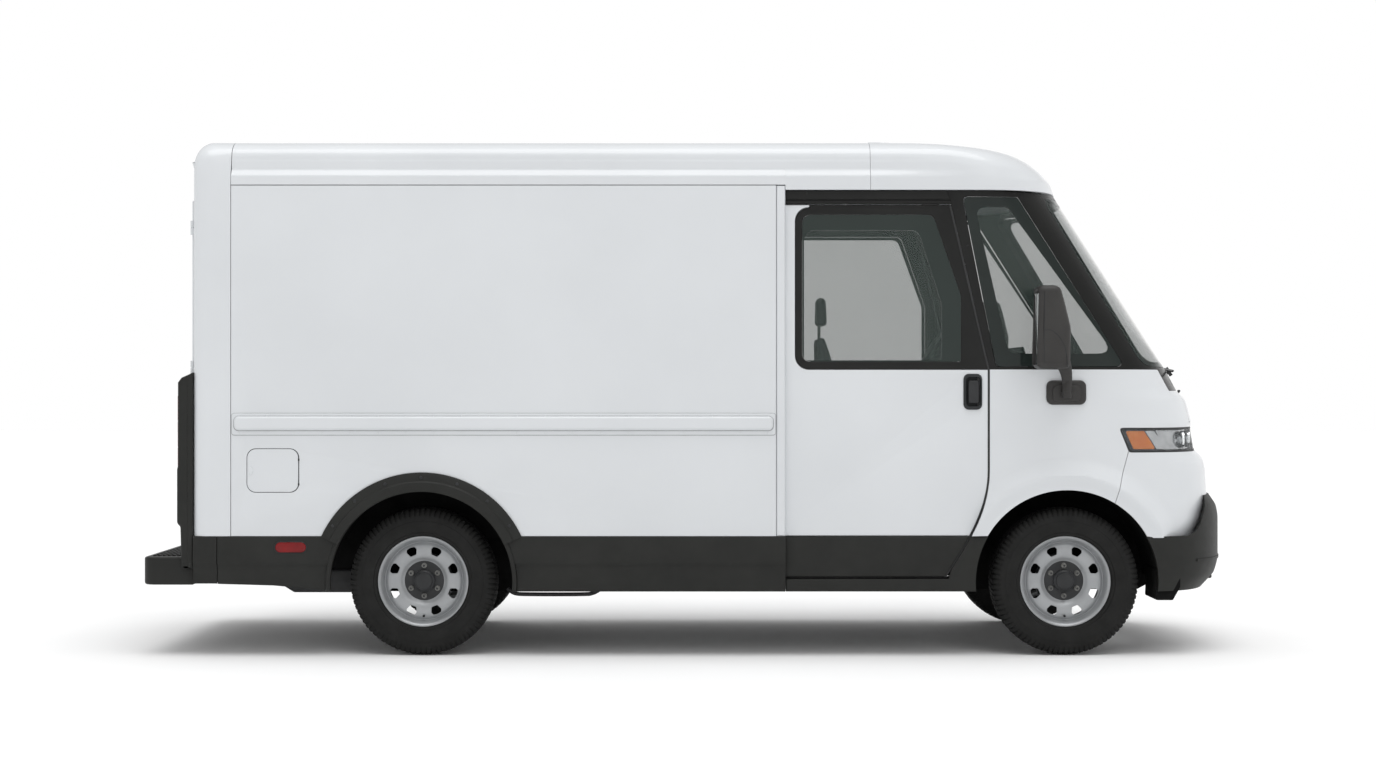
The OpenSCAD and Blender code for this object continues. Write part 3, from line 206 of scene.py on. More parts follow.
SILVERED = material("silvered_glass", (0.75, 0.77, 0.78), (0.8, 0.82, 0.83), 3.0, (0.01, 0.03),
                    (100.0, 0.004), {"Metallic": 1.0})
CAB = material("cab_plastic", (0.020, 0.022, 0.024), (0.03, 0.032, 0.034), 6.0, (0.5, 0.65),
               (650.0, 0.4), {"Specular IOR Level": 0.25})
LINING = material("lining_panel", (0.50, 0.51, 0.52), (0.56, 0.57, 0.58), 2.5, (0.5, 0.62),
                  (300.0, 0.15))
FLOORING = material("floor_composite", (0.10, 0.105, 0.11), (0.17, 0.175, 0.18), 40.0, (0.6, 0.8),
                    (250.0, 0.8))
RED = material("red_lens", (0.14, 0.002, 0.003), (0.22, 0.004, 0.005), 12.0, (0.1, 0.2),
               (250.0, 0.3), {"Specular IOR Level": 0.3})
AMBER = material("amber_lens", (0.62, 0.15, 0.004), (0.74, 0.21, 0.008), 20.0, (0.1, 0.2),
                 (160.0, 0.5), {"Specular IOR Level": 0.3})
CLEAR = material("clear_lens", (0.25, 0.27, 0.28), (0.3, 0.32, 0.33), 5.0, (0.02, 0.05),
                 (120.0, 0.04), {"Alpha": 0.14, "Specular IOR Level": 0.5})
CHROME = material("lamp_reflector", (0.44, 0.45, 0.46), (0.66, 0.67, 0.68), 16.0, (0.08, 0.22),
                  (90.0, 0.5), {"Metallic": 0.9})
FABRIC = woven("seat_fabric", (0.028, 0.030, 0.034), (0.045, 0.048, 0.053), 260.0)
GROUND = material("studio_floor", (0.90, 0.90, 0.90), (0.93, 0.93, 0.93), 0.6, (0.85, 0.95),
                  (60.0, 0.02), {"Specular IOR Level": 0.1})


# ---------- meshes ----------
def mesh_data(name, points, faces, weld=0.0):
    """A Blender mesh with its faces turned outward. Points closer than weld are merged."""
    data = bpy.data.meshes.new(name)
    data.from_pydata(points, [], faces)
    work = bmesh.new()
    work.from_mesh(data)
    if weld:
        bmesh.ops.remove_doubles(work, verts=work.verts, dist=weld)
    bmesh.ops.recalc_face_normals(work, faces=work.faces)
    work.to_mesh(data)
    work.free()
    return data


def link(name, data):
    piece = bpy.data.objects.new(name, data)
    bpy.context.scene.collection.objects.link(piece)
    return piece


def mesh_parts(piece):
    """A piece's mesh as (points, faces)."""
    return [tuple(v.co) for v in piece.data.vertices], [tuple(f.vertices) for f in piece.data.polygons]


def make(name, mesh, finish, body, side=1, angle=32, replaces=()):
    """A piece from (points, faces), mirrored for side -1, that rides on a CAD body."""
    points, faces = mesh
    data = mesh_data(name, [(x, y * side, z) for x, y, z in points], faces, WELD)
    data.materials.append(finish)
    piece = link(name, data)
    soften(piece, angle)
    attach(piece, body)
    if replaces:
        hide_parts(*replaces)
    return piece


def soften(piece, angle=32):
    piece.data.shade_smooth()
    piece.data.set_sharp_from_angle(angle=math.radians(angle))


def settle(piece, angle=32):
    """Applies a piece's modifiers."""
    graph = bpy.context.evaluated_depsgraph_get()
    graph.update()
    solved = bpy.data.meshes.new_from_object(piece.evaluated_get(graph))
    piece.modifiers.clear()
    piece.data = solved
    soften(piece, angle)


def carve(piece, cutters, operation="DIFFERENCE", angle=32):
    """Cuts solids, given as (points, faces), out of a piece, or keeps what they share."""
    tools = []
    for points, faces in cutters:
        tool = link("cutter", mesh_data("cutter", points, faces))
        tools.append(tool)
        cut = piece.modifiers.new("cut", "BOOLEAN")
        cut.operation = operation
        cut.solver = "EXACT"
        cut.object = tool
    settle(piece, angle)
    for tool in tools:
        bpy.data.objects.remove(tool)
    return piece


def join(meshes):
    points, faces = [], []
    for more, shapes in meshes:
        start = len(points)
        points.extend(more)
        faces.extend([tuple(i + start for i in face) for face in shapes])
    return points, faces


def offset(loop, inset):
    """Moves a closed outline to the left of its walk."""
    p = np.asarray(loop, float)
    before = p - np.roll(p, 1, 0)
    after = np.roll(p, -1, 0) - p
    before /= np.linalg.norm(before, axis=1)[:, None]
    after /= np.linalg.norm(after, axis=1)[:, None]
    turn = np.stack([-(before + after)[:, 1], (before + after)[:, 0]], 1)
    return p + inset * 2 * turn / np.maximum((turn * turn).sum(1), 0.4)[:, None]


def turned(loop, anticlockwise=True):
    p = np.asarray(loop, float)
    area = np.sum(p[:, 0] * np.roll(p[:, 1], -1) - p[:, 1] * np.roll(p[:, 0], -1))
    return p if (area > 0) == anticlockwise else p[::-1]


PLANES = {"xz": lambda u, v, w: (u, w, v), "yz": lambda u, v, w: (w, u, v), "xy": lambda u, v, w: (u, v, w)}


def plate(loops, lo, hi, r_lo=0.0, r_hi=0.0, plane="xz", steps=3):
    """A flat plate from lo to hi, with an outline, holes, and rounded edges on either face."""
    loops = [turned(loop, i == 0) for i, loop in enumerate(loops)]
    layers = []
    for k in range(steps + 1 if r_lo else 1):
        a = math.pi / 2 * k / steps
        layers.append((lo + r_lo * (1 - math.cos(a)), r_lo * (1 - math.sin(a))))
    for k in range(steps + 1 if r_hi else 1):
        a = math.pi / 2 * k / steps
        layers.append((hi - r_hi * (1 - math.sin(a)), r_hi * (1 - math.cos(a))))
    place = PLANES[plane]
    points, faces, starts = [], [], []
    for w, inset in layers:
        starts.append(len(points))
        for loop in loops:
            points.extend([place(u, v, w) for u, v in offset(loop, inset)])
    first = 0
    for loop in loops:
        n = len(loop)
        for k in range(len(layers) - 1):
            a, b = starts[k] + first, starts[k + 1] + first
            faces.extend([(a + i, a + (i + 1) % n, b + (i + 1) % n, b + i) for i in range(n)])
        first += n
    for k, inset in ((0, layers[0][1]), (len(layers) - 1, layers[-1][1])):
        flat = [[Vector((u, v, 0)) for u, v in offset(loop, inset)] for loop in loops]
        faces.extend([tuple(starts[k] + i for i in t) for t in tessellate_polygon(flat)])
    return points, faces


def box(a, b, r=0.0, plane="xz"):
    """A block between two corners, with its upright edges and far face rounded by r."""
    if plane == "xz":
        loop, lo, hi = rectangle((a[0], a[2]), (b[0], b[2]), r), a[1], b[1]
    elif plane == "yz":
        loop, lo, hi = rectangle((a[1], a[2]), (b[1], b[2]), r), a[0], b[0]
    else:
        loop, lo, hi = rectangle((a[0], a[1]), (b[0], b[1]), r), a[2], b[2]
    edge = min(r * 0.6, (hi - lo) / 2.2)
    return plate([loop], lo, hi, edge, edge, plane)


def arc(x, z, r, start, end, n=12):
    angles = np.radians(np.linspace(start, end, n + 1))
    return [(x + r * math.cos(a), z + r * math.sin(a)) for a in angles]


def rectangle(a, b, r=0.0, n=6):
    if r <= 0:
        return [(a[0], a[1]), (b[0], a[1]), (b[0], b[1]), (a[0], b[1])]
    r = min(r, (b[0] - a[0]) / 2.01, (b[1] - a[1]) / 2.01)
    return (arc(b[0] - r, b[1] - r, r, 0, 90, n) + arc(a[0] + r, b[1] - r, r, 90, 180, n)
            + arc(a[0] + r, a[1] + r, r, 180, 270, n) + arc(b[0] - r, a[1] + r, r, 270, 360, n))


def rounded(loop, r, n=6):
    """An outline with its corners rounded. r is one radius, or one for each corner."""
    p = turned(loop)
    radii = [r] * len(p) if np.isscalar(r) else list(r)
    out = []
    for i, corner in enumerate(p):
        back, ahead = p[i - 1] - corner, p[(i + 1) % len(p)] - corner
        lengths = np.linalg.norm(back), np.linalg.norm(ahead)
        back, ahead = back / lengths[0], ahead / lengths[1]
        half = math.acos(np.clip(back @ ahead, -1, 1)) / 2
        reach = min(radii[i] / max(math.tan(half), 1e-3), 0.45 * min(lengths))
        if reach < 1e-4 or half > 1.5:
            out.append(tuple(corner))
            continue
        for s in np.linspace(0, 1, n + 1):
            out.append(tuple(corner + back * reach * (1 - s) ** 2 + ahead * reach * s ** 2))
    return out


def clip(loop, axis, limit, keep_above):
    """The part of an outline above or below a line."""
    out = []
    sign = 1 if keep_above else -1
    for a, b in zip(loop, [*loop[1:], loop[0]]):
        da, db = sign * (a[axis] - limit), sign * (b[axis] - limit)
        if da >= 0:
            out.append(tuple(a))
        if da * db < 0:
            t = da / (da - db)
            out.append((a[0] + t * (b[0] - a[0]), a[1] + t * (b[1] - a[1])))
    return out


def sheet(rows, wrap=False):
    """Faces over a grid of points."""
    rows = np.asarray(rows, float)
    n, m = rows.shape[:2]
    faces = []
    for j in range(n - 1):
        for i in range(m if wrap else m - 1):
            k = (i + 1) % m
            faces.append((j * m + i, j * m + k, (j + 1) * m + k, (j + 1) * m + i))
    return [tuple(p) for p in rows.reshape(-1, 3)], faces


def slab(outer, inner):
    """A closed solid between two grids of the same size."""
    outer, inner = np.asarray(outer, float), np.asarray(inner, float)
    n, m = outer.shape[:2]
    points, faces = sheet(outer)
    more, back = sheet(inner)
    size = n * m
    faces += [tuple(size + i for i in reversed(face)) for face in back]
    edge = [j * m for j in range(n)], [j * m + m - 1 for j in range(n)]
    ends = list(range(m)), list(range((n - 1) * m, n * m))
    for line in (*edge, *ends):
        faces += [(a, b, b + size, a + size) for a, b in zip(line, line[1:])]
    return points + more, faces


def revolve(profile, centre, n=96, axis="y"):
    """A profile of (radius, along) turned about a line through a centre."""
    rows = []
    for r, along in profile:
        ring = []
        for a in np.linspace(0, 2 * math.pi, n, endpoint=False):
            u, v = r * math.cos(a), r * math.sin(a)
            where = {"y": (u, along, v), "x": (along, u, v), "z": (u, v, along)}[axis]
            ring.append([c + w for c, w in zip(centre, where)])
        rows.append(ring)
    return sheet(rows, wrap=True)


def tube(path, radius, sides=12):
    """A round bar along a path, with closed ends."""
    path = [Vector(p) for p in path]
    points, faces = [], []
    for i, here in enumerate(path):
        along = (path[min(i + 1, len(path) - 1)] - path[max(i - 1, 0)]).normalized()
        if i == 0:
            across = along.orthogonal().normalized()
        else:
            across = (across - along * across.dot(along)).normalized()
        up = along.cross(across)
        for k in range(sides):
            a = 2 * math.pi * k / sides
            points.append(tuple(here + radius * (across * math.cos(a) + up * math.sin(a))))
    for i in range(len(path) - 1):
        for k in range(sides):
            n = (k + 1) % sides
            faces.append((i * sides + k, i * sides + n, (i + 1) * sides + n, (i + 1) * sides + k))
    faces.append(tuple(range(sides)))
    faces.append(tuple(range((len(path) - 1) * sides, len(path) * sides)))
    return points, faces


def curve(points, n=24):
    """A smooth path through a few points."""
    p = [np.array(q, float) for q in points]
    p = [2 * p[0] - p[1], *p, 2 * p[-1] - p[-2]]
    out = []
    for i in range(1, len(p) - 2):
        for t in np.linspace(0, 1, n // (len(p) - 3) + 1)[: None if i == len(p) - 3 else -1]:
            a, b, c, d = p[i - 1 : i + 3]
            out.append(0.5 * (2 * b + (c - a) * t + (2 * a - 5 * b + 4 * c - d) * t ** 2
                              + (3 * b - a - 3 * c + d) * t ** 3))
    return out


# ---------- the cab's bow ----------
# A level is (height, nose ahead of the front axle, length of the bow, half width).
def level(z, nose, reach, width=CAB_HALF):
    return (z, nose, reach, width)


NOSE = [level(0.640, 0.835, 0.585), level(0.720, 0.872, 0.612), level(0.816, 0.890, 0.630),
        level(1.000, 0.878, 0.618), level(1.060, 0.862, 0.602), level(1.104, 0.810, 0.560),
        level(1.230, 0.790, 0.560), level(1.258, 0.797, 0.572), level(1.380, 0.765, 0.570),
        level(1.432, 0.716, 0.566), level(1.548, 0.652, 0.560)]
WINDSHIELD = [level(BELT, 0.652, 0.560), level(HEADER, 0.026, 0.560)]
BUMPER_HALF = CAB_HALF + 0.014
BUMPER = [level(0.351, 0.850, 0.560, BUMPER_HALF), level(0.425, 0.928, 0.640, BUMPER_HALF),
          level(0.500, 0.950, 0.668, BUMPER_HALF), level(0.740, 0.950, 0.668, BUMPER_HALF),
          level(0.800, 0.938, 0.655, BUMPER_HALF), level(0.858, 0.897, 0.632, CAB_HALF + 0.008)]
BOW = 2 / 3


def fine_levels(levels, step=0.014, blur=0.012):
    """Levels close together, with the creases between them rounded."""
    table = np.array(levels)
    span = table[-1, 0] - table[0, 0]
    count = max(2, int(round(span / step)) + 1)
    pad = int(3 * blur / step) + 2
    z = table[0, 0] + np.arange(-pad, count + pad) * span / (count - 1)
    weights = np.exp(-0.5 * (np.arange(-pad, pad + 1) * step / max(blur, 1e-6)) ** 2)
    weights /= weights.sum()
    columns = [z[pad:-pad]]
    for k in range(1, 4):
        value = np.interp(z, table[:, 0], table[:, k])
        below = z < table[0, 0]
        above = z > table[-1, 0]
        first = (table[1, k] - table[0, k]) / (table[1, 0] - table[0, 0])
        last = (table[-1, k] - table[-2, k]) / (table[-1, 0] - table[-2, 0])
        value[below] = table[0, k] + first * (z[below] - table[0, 0])
        value[above] = table[-1, k] + last * (z[above] - table[-1, 0])
        columns.append(np.convolve(value, weights, mode="valid") if blur else value[pad:-pad])
    return np.stack(columns, 1)


def ring(at, inset=0.0, back=None, count=260):
    """Points round the bow at a level, evenly spaced, from the right side to the left."""
    z, nose, reach, width = at
    t = np.radians(np.linspace(-90, 90, 721))
    x = FRONT_AXLE + nose - reach + (reach - inset) * np.maximum(np.cos(t), 0) ** BOW
    y = (width - inset) * np.sign(t) * np.abs(np.sin(t)) ** BOW
    if back is not None:
        x = np.concatenate([[back], x, [back]])
        y = np.concatenate([[y[0]], y, [y[-1]]])
    along = np.concatenate([[0], np.cumsum(np.hypot(np.diff(x), np.diff(y)))])
    even = np.linspace(0, along[-1], count)
    return np.stack([np.interp(even, along, x), np.interp(even, along, y), np.full(count, z)], 1)


def shell(levels, thickness, back, count=260, warp=None):
    outer = np.array([ring(at, 0, back, count) for at in levels])
    inner = np.array([ring(at, thickness, back, count) for at in levels])
    if warp:
        outer, inner = warp(outer), warp(inner)
    return slab(outer, inner)


def patch(levels, side_x, front_y, inset, thickness, count=48, side=1):
    """A piece of the bow on one side, from side_x(z) round to front_y. side 0 goes right across."""
    outer, inner = [], []
    for at in levels:
        z, nose, reach, width = at
        centre = FRONT_AXLE + nose - reach
        if side:
            end = math.acos(min(1, max(0, (side_x(z) - centre) / reach)) ** 1.5)
            start = math.asin((front_y / width) ** 1.5)
        else:
            end = math.asin((front_y / width) ** 1.5)
            start = -end
        t = np.linspace(start, end, 400)
        for rows, more in ((outer, inset), (inner, inset + thickness)):
            x = centre + (reach - more) * np.cos(t) ** BOW
            y = (width - more) * np.sign(t) * np.abs(np.sin(t)) ** BOW
            along = np.concatenate([[0], np.cumsum(np.hypot(np.diff(x), np.diff(y)))])
            even = np.linspace(0, along[-1], count)
            rows.append(np.stack([np.interp(even, along, x), np.interp(even, along, y),
                                  np.full(count, z)], 1))
    return slab(outer, inner)


def smooth(x, a, b):
    t = np.clip((x - a) / (b - a), 0, 1)
    return t * t * (3 - 2 * t)


# ---------- roof ----------
EDGE_LOW = ROOF - 0.190
STEP_Z = ROOF - 0.110


def roof_width(z, stepped):
    """Half width of the roof at a height: stepped along the box, smooth at its ends."""
    z = np.asarray(z, float)
    share = np.clip((z - EDGE_LOW) / 0.185, 0, 1)
    plain = HALF - 0.210 + 0.210 * (1 - share ** 2.6) ** (1 / 2.6)
    top = np.clip((z - STEP_Z) / 0.105, 0, 1)
    crown = HALF - 0.210 + 0.180 * (1 - top ** 2.2) ** (1 / 2.2)
    step = np.interp(z, [0, 2.588, 2.594, 2.622, 2.629, 2.672, STEP_Z],
                     [HALF, HALF, HALF - 0.002, HALF - 0.020, HALF - 0.023, HALF - 0.027, HALF - 0.030])
    grooved = np.where(z > STEP_Z, crown, step)
    return plain + (grooved - plain) * stepped


def roof_half_section(bottom, stepped):
    """(y, z) from the lower edge up over the corner to the middle of the roof."""
    z = np.concatenate([[bottom], np.linspace(bottom + 0.01, STEP_Z, 26),
                        STEP_Z + 0.105 * np.sin(np.radians(np.linspace(4, 90, 22)))])
    edge = [(float(roof_width(h, stepped)), h) for h in z]
    crown = [(y, ROOF - 0.005 * (y / (HALF - 0.210)) ** 2) for y in (0.7, 0.55, 0.4, 0.25, 0.1, 0.0)]
    return edge + crown


def whole_section(half):
    return [(-y, z) for y, z in half] + [(y, z) for y, z in reversed(half[:-1])]


def thicken(piece, depth, angle=32):
    solid = piece.modifiers.new("thickness", "SOLIDIFY")
    solid.thickness = depth
    solid.offset = -1
    settle(piece, angle)
    return piece


def cargo_roof():
    rows = []
    for x, bottom in ((REAR_SEAM + SEAM, SIDE_TOP + SEAM), (POCKET + 0.0005, SIDE_TOP + SEAM),
                      (POCKET + 0.001, HEADER), (ROOF_SEAM - SEAM / 2, HEADER)):
        section = whole_section(roof_half_section(bottom, 1.0))
        rows.append([(x, y, z) for y, z in section])
    roof = make("cargo_roof_skin", sheet(rows), WHITE, "truck", angle=24,
                replaces=["cargo_roof"])
    thicken(roof, 0.012, 24)
    bows = []
    for k in range(6):
        x = REAR_SEAM + 0.30 + 0.56 * k
        half = [(y - 0.014, z - 0.014) for y, z in roof_half_section(SIDE_TOP + 0.02, 1.0)[:-1]] + [(0,
                ROOF - 0.014)]
        outer = whole_section(half)
        inner = [(y * 0.975, z - 0.026) for y, z in outer]
        bows.append(slab([[(x, y, z) for y, z in outer], [(x + 0.04, y, z) for y, z in outer]],
                         [[(x, y, z) for y, z in inner], [(x + 0.04, y, z) for y, z in inner]]))
    make("roof_bows", join(bows), LINING, "truck")


def cap_levels():
    rows = [level(HEADER, 0.026, 0.560), level(ROOF - 0.214, 0.007, 0.560),
            level(ROOF - 0.150, -0.050, 0.560),
            level(ROOF - 0.100, -0.112, 0.556), level(ROOF - 0.062, -0.182, 0.540),
            level(ROOF - 0.032, -0.290, 0.500), level(ROOF - 0.014, -0.470, 0.400)]
    table = fine_levels(rows, 0.008, 0.008)
    return [tuple(row) for row in table] + [level(ROOF - 0.008, -0.58, 0.33),
                                            level(ROOF - 0.004, -0.70, 0.26),
                                            level(ROOF - 0.001, -0.84, 0.18)]


def cab_roof():
    """The moulded cap over the cab. The box's stepped edge runs into it and fades out."""
    rows = []
    for z, nose, reach, _ in cap_levels():
        width = float(roof_width(min(z, ROOF - 0.0052), 0.0))
        line = ring((z, nose, reach, width), 0, ROOF_SEAM + SEAM / 2, 220)
        grooved = float(roof_width(min(z, ROOF - 0.0052), 1.0))
        fade = 1 - smooth(line[:, 0], ROOF_SEAM, ROOF_SEAM + 0.75)
        line[:, 1] *= 1 + (grooved / width - 1) * fade
        rows.append(line)
    points, faces = sheet(rows)
    top = len(points) - 220
    faces.append(tuple(range(top, len(points))))
    cap = make("cab_roof_skin", (points, faces), WHITE, "truck", angle=30,
               replaces=["cab_roof_cap"])
    thicken(cap, 0.014, 30)


# ---------- cargo box ----------
FLAP_LOW, FLAP_HIGH = low("charge_flap"), high("charge_flap")
CORNER_SEAM = POCKET - 0.049
RAIL_Z = (1.196, 1.312)


def side_outline():
    """The side panel: a rectangle with the rear wheel arch cut from its lower edge."""
    r = REAR_ARCH_R + 0.060
    start = math.degrees(math.asin((CLAD_TOP - WHEEL_Z) / r))
    return ([(REAR_SEAM + SEAM, SIDE_TOP - SEAM), (REAR_SEAM + SEAM, CLAD_TOP)]
            + arc(REAR_AXLE, WHEEL_Z, r, 180 - start, start, 48)
            + [(CORNER_SEAM - SEAM / 2, CLAD_TOP), (CORNER_SEAM - SEAM / 2, SIDE_TOP - SEAM)])


def cargo_sides():
    flap_x = (FLAP_LOW.x, REAR_AXLE - 0.663)
    flap = rectangle((flap_x[0] - 0.003, FLAP_LOW.z - 0.003), (flap_x[1] + 0.005, FLAP_HIGH.z + 0.003), 0.050,
                     10)
    lid = plate([rectangle((flap_x[0], FLAP_LOW.z), (flap_x[1], FLAP_HIGH.z), 0.048, 10)], HALF - 0.012, HALF,
                0, 0.003)
    thumb = plate([arc(flap_x[0] + 0.006, middle("charge_flap").z, 0.027, -80, 80, 16)], HALF - 0.002,
                  HALF + 0.003,
                  0, 0.003)
    make("charge_flap_lid", join([lid, thumb]), WHITE, "charge_flap", -1,
         replaces=["charge_flap"])
    for side, sign in SIDES.items():
        holes = [flap] if sign < 0 else []
        panel = plate([side_outline(), *holes], HALF - SKIN, HALF, 0, 0.002)
        make(f"side_panel_{side}", panel, WHITE, "truck", sign,
             replaces=[f"cargo_side_{side}"])
        post = plate([rectangle((CORNER_SEAM + SEAM / 2, CLAD_TOP), (POCKET, SIDE_TOP - SEAM))],
                     HALF - SKIN - 0.012, HALF, 0, 0.010, steps=5)
        make(f"pocket_post_{side}", post, WHITE, "truck", sign)
        strips = [box((x - 0.02, HALF - SKIN - 0.008, CLAD_TOP),
                      (x + 0.02, HALF - SKIN + 0.006, SIDE_TOP - 0.01))
                  for x in (REAR_SEAM, CORNER_SEAM)]
        make(f"seam_strips_{side}", join(strips), LINING, "truck", sign)
        # Painted shade: thin grey rings round the rail's flange and body stand in for the dark gaps where the
        # rail meets the panel and its flange.
        rail_outline_shade = [plate([rectangle((REAR_SEAM + 0.004, RAIL_Z[0] - 0.003),
                                    (CORNER_SEAM - 0.002, RAIL_Z[1] + 0.002),
                                    0.016)], HALF - 0.001, HALF + 0.0012, 0, 0.0005),
                   plate([rectangle((REAR_SEAM + 0.0155, 1.2165), (CORNER_SEAM - 0.0135, 1.2985), 0.028)],
                         HALF + 0.003, HALF + 0.0052, 0, 0.0005)]
        make(f"rub_rail_painted_shade_{side}", join(rail_outline_shade), GAP_SHADE, "truck", sign)
        flange = plate([rectangle((REAR_SEAM + 0.006, RAIL_Z[0]), (CORNER_SEAM - 0.004, RAIL_Z[1]), 0.014)],
                       HALF, HALF + 0.004, 0, 0.002)
        body = plate([rectangle((REAR_SEAM + 0.018, 1.220), (CORNER_SEAM - 0.016, 1.297), 0.026)],
                     HALF + 0.003, HALF + 0.022, 0, 0.017, steps=7)
        rivets = []
        for k in range(20):
            for z in (RAIL_Z[0] + 0.010, RAIL_Z[1] - 0.010):
                x = REAR_SEAM + 0.045 + k * (CORNER_SEAM - REAR_SEAM - 0.09) / 19
                rivets.append(plate([arc(x, z, 0.0055, 0, 324, 9)], HALF + 0.003, HALF + 0.0065, 0, 0.002,
                                    steps=2))
        make(f"rub_rail_{side}", join([flange, body]), WHITE, "truck", sign, angle=40,
             replaces=["rub_rails"])
        make(f"rub_rail_rivets_{side}", join(rivets), WHITE, "truck", sign)


DOORWAY = 0.85
PORTAL_TOP = HEADER - 0.076
HINGE_Z = (CLAD_TOP + 0.160, 1.560, PORTAL_TOP - 0.120)


def rear_corner():
    """The moulded rear frame, rounded over into the rear face, with the doorway in it."""
    rows = []
    stations = [(REAR_SEAM - SEAM / 2, 0.0, 1.0), (REAR_SEAM - 0.03, 0.0, 0.75),
                (REAR_SEAM - 0.07, 0.0, 0.25),
                (REAR_SEAM - 0.10, 0.0, 0.0)]
    depth = 0.088
    for a in np.linspace(0, 90, 14):
        stations.append((BOX_REAR + depth * (1 - math.sin(math.radians(a))),
                         1 - math.cos(math.radians(a)), 0.0))
    for x, inset, stepped in stations:
        half = np.array(roof_half_section(CLAD_TOP, stepped))
        half[0, 1] = CLAD_TOP
        along = np.gradient(half, axis=0)
        normal = np.stack([-along[:, 1], along[:, 0]], 1)
        normal /= np.maximum(np.linalg.norm(normal, axis=1), 1e-9)[:, None]
        normal[0] = (-1, 0)
        normal[-1] = (0, -1)
        moved = half + normal * inset * np.array([0.034, 0.085])
        moved[0, 1] = CLAD_TOP
        rows.append([(x, y, z) for y, z in whole_section([tuple(p) for p in moved])])
    skin = make("rear_corner_skin", sheet(rows), WHITE, "truck", angle=30,
                replaces=["rear_portal"])
    thicken(skin, 0.012, 30)
    last = [(y, z) for _, y, z in rows[-1]]
    face = plate([last, rectangle((-DOORWAY, CLAD_TOP + 0.001), (DOORWAY, PORTAL_TOP), 0.0)],
                 BOX_REAR, BOX_REAR + 0.026, 0, 0, "yz")
    parts = [face]
    for s in (1, -1):
        a, b = sorted((s * DOORWAY, s * (DOORWAY + 0.016)))
        parts.append(plate([rectangle((a, 0.66), (b, PORTAL_TOP + 0.016))], BOX_REAR + 0.026, REAR_SEAM, 0, 0,
                           "yz"))
    parts.append(plate([rectangle((-DOORWAY, PORTAL_TOP), (DOORWAY, PORTAL_TOP + 0.016))],
                       BOX_REAR + 0.026, REAR_SEAM, 0, 0, "yz"))
    make("rear_face", join(parts), WHITE, "truck")
    sill = plate([rectangle((-1.016, 0.620), (1.016, CLAD_TOP), 0.004)], BOX_REAR, REAR_SEAM, 0.003, 0, "yz")
    make("rear_sill", sill, CLADDING, "truck")
    knuckles = []
    for s in (1, -1):
        for z in HINGE_Z:
            x, y = BOX_REAR - 0.026, s * (DOORWAY + 0.062)
            knuckles.append(revolve([(0, z - 0.040), (0.011, z - 0.040), (0.013, z - 0.038),
                                     (0.013, z - 0.004),
                                     (0.011, z - 0.002), (0, z - 0.002)], (x, y, 0), 24, "z"))
            a, b = sorted((y - s * 0.004, y + s * 0.012))
            knuckles.append(box((x, a, z - 0.040), (BOX_REAR, b, z - 0.002), 0.002))
    make("rear_hinge_knuckles", join(knuckles), WHITE, "truck")


def rear_doors():
    """Two swinging doors with a pressed panel and a window each."""
    for side, sign in SIDES.items():
        outer = rectangle((0.002, CLAD_TOP + 0.020), (DOORWAY + 0.028, PORTAL_TOP + 0.030), 0.012)
        window = rectangle((0.190, 1.660), (DOORWAY - 0.150, PORTAL_TOP - 0.190), 0.045)
        x1 = BOX_REAR - 0.001
        leaf = plate([outer, window], x1 - 0.036, x1, 0.006, 0, "yz")
        ribs = []
        for z in (0.76, 1.02, 1.12):
            ribs.append(plate([rectangle((0.16, z), (DOORWAY - 0.12, z + 0.055), 0.026)],
                              x1 - 0.0375, x1 - 0.030, 0.0014, 0, "yz"))
        lugs = []
        for z in HINGE_Z:
            hinge = (BOX_REAR - 0.026, DOORWAY + 0.062, 0)
            lugs.append(revolve([(0, z - 0.001), (0.011, z - 0.001), (0.013, z + 0.001), (0.013, z + 0.035),
                                 (0.011, z + 0.037), (0, z + 0.037)], hinge, 24, "z"))
            lugs.append(box((x1 - 0.031, DOORWAY + 0.002, z), (x1 - 0.019, hinge[1], z + 0.036), 0.002))
            lugs.append(box((x1 - 0.040, DOORWAY - 0.09, z + 0.002), (x1 - 0.034, DOORWAY + 0.024, z + 0.034),
                            0.003))
        seal = plate([rectangle((0.178, 1.648), (DOORWAY - 0.138, PORTAL_TOP - 0.178), 0.055),
                      rectangle((0.196, 1.666), (DOORWAY - 0.156, PORTAL_TOP - 0.196), 0.042)],
                     x1 - 0.040, x1 - 0.030, 0.003, 0, "yz")
        pane = plate([rectangle((0.191, 1.661), (DOORWAY - 0.151, PORTAL_TOP - 0.191), 0.044)],
                     x1 - 0.024, x1 - 0.016, 0, 0, "yz")
        body = f"rear_door_{side}"
        make(f"{body}_leaf", leaf, WHITE, body, sign, replaces=[body])
        make(f"{body}_ribs", join(ribs), WHITE, body, sign)
        make(f"{body}_hinges", join(lugs), WHITE, body, sign)
        make(f"{body}_seal", seal, RUBBER, body, sign)
        make(f"{body}_pane", pane, GLASS, body, sign)


# ---------- cab panels ----------
def flare(points):
    """Raises a soft ridge round the front wheel arch."""
    x, y, z = points[..., 0], points[..., 1], points[..., 2]
    r = np.hypot(x - FRONT_AXLE, z - WHEEL_Z)
    rise = 0.040 * np.clip((0.668 - r) / 0.085, 0, 1) ** 1.2 - 0.020 * np.clip((0.575 - r) / 0.065, 0, 1)
    flat = smooth(np.abs(y), 0.90 * CAB_HALF, 0.985 * CAB_HALF)
    lip = np.where(r < 0.40, 0, 1)
    moved = points.copy()
    moved[..., 1] += np.sign(y) * rise * flat * lip
    return moved


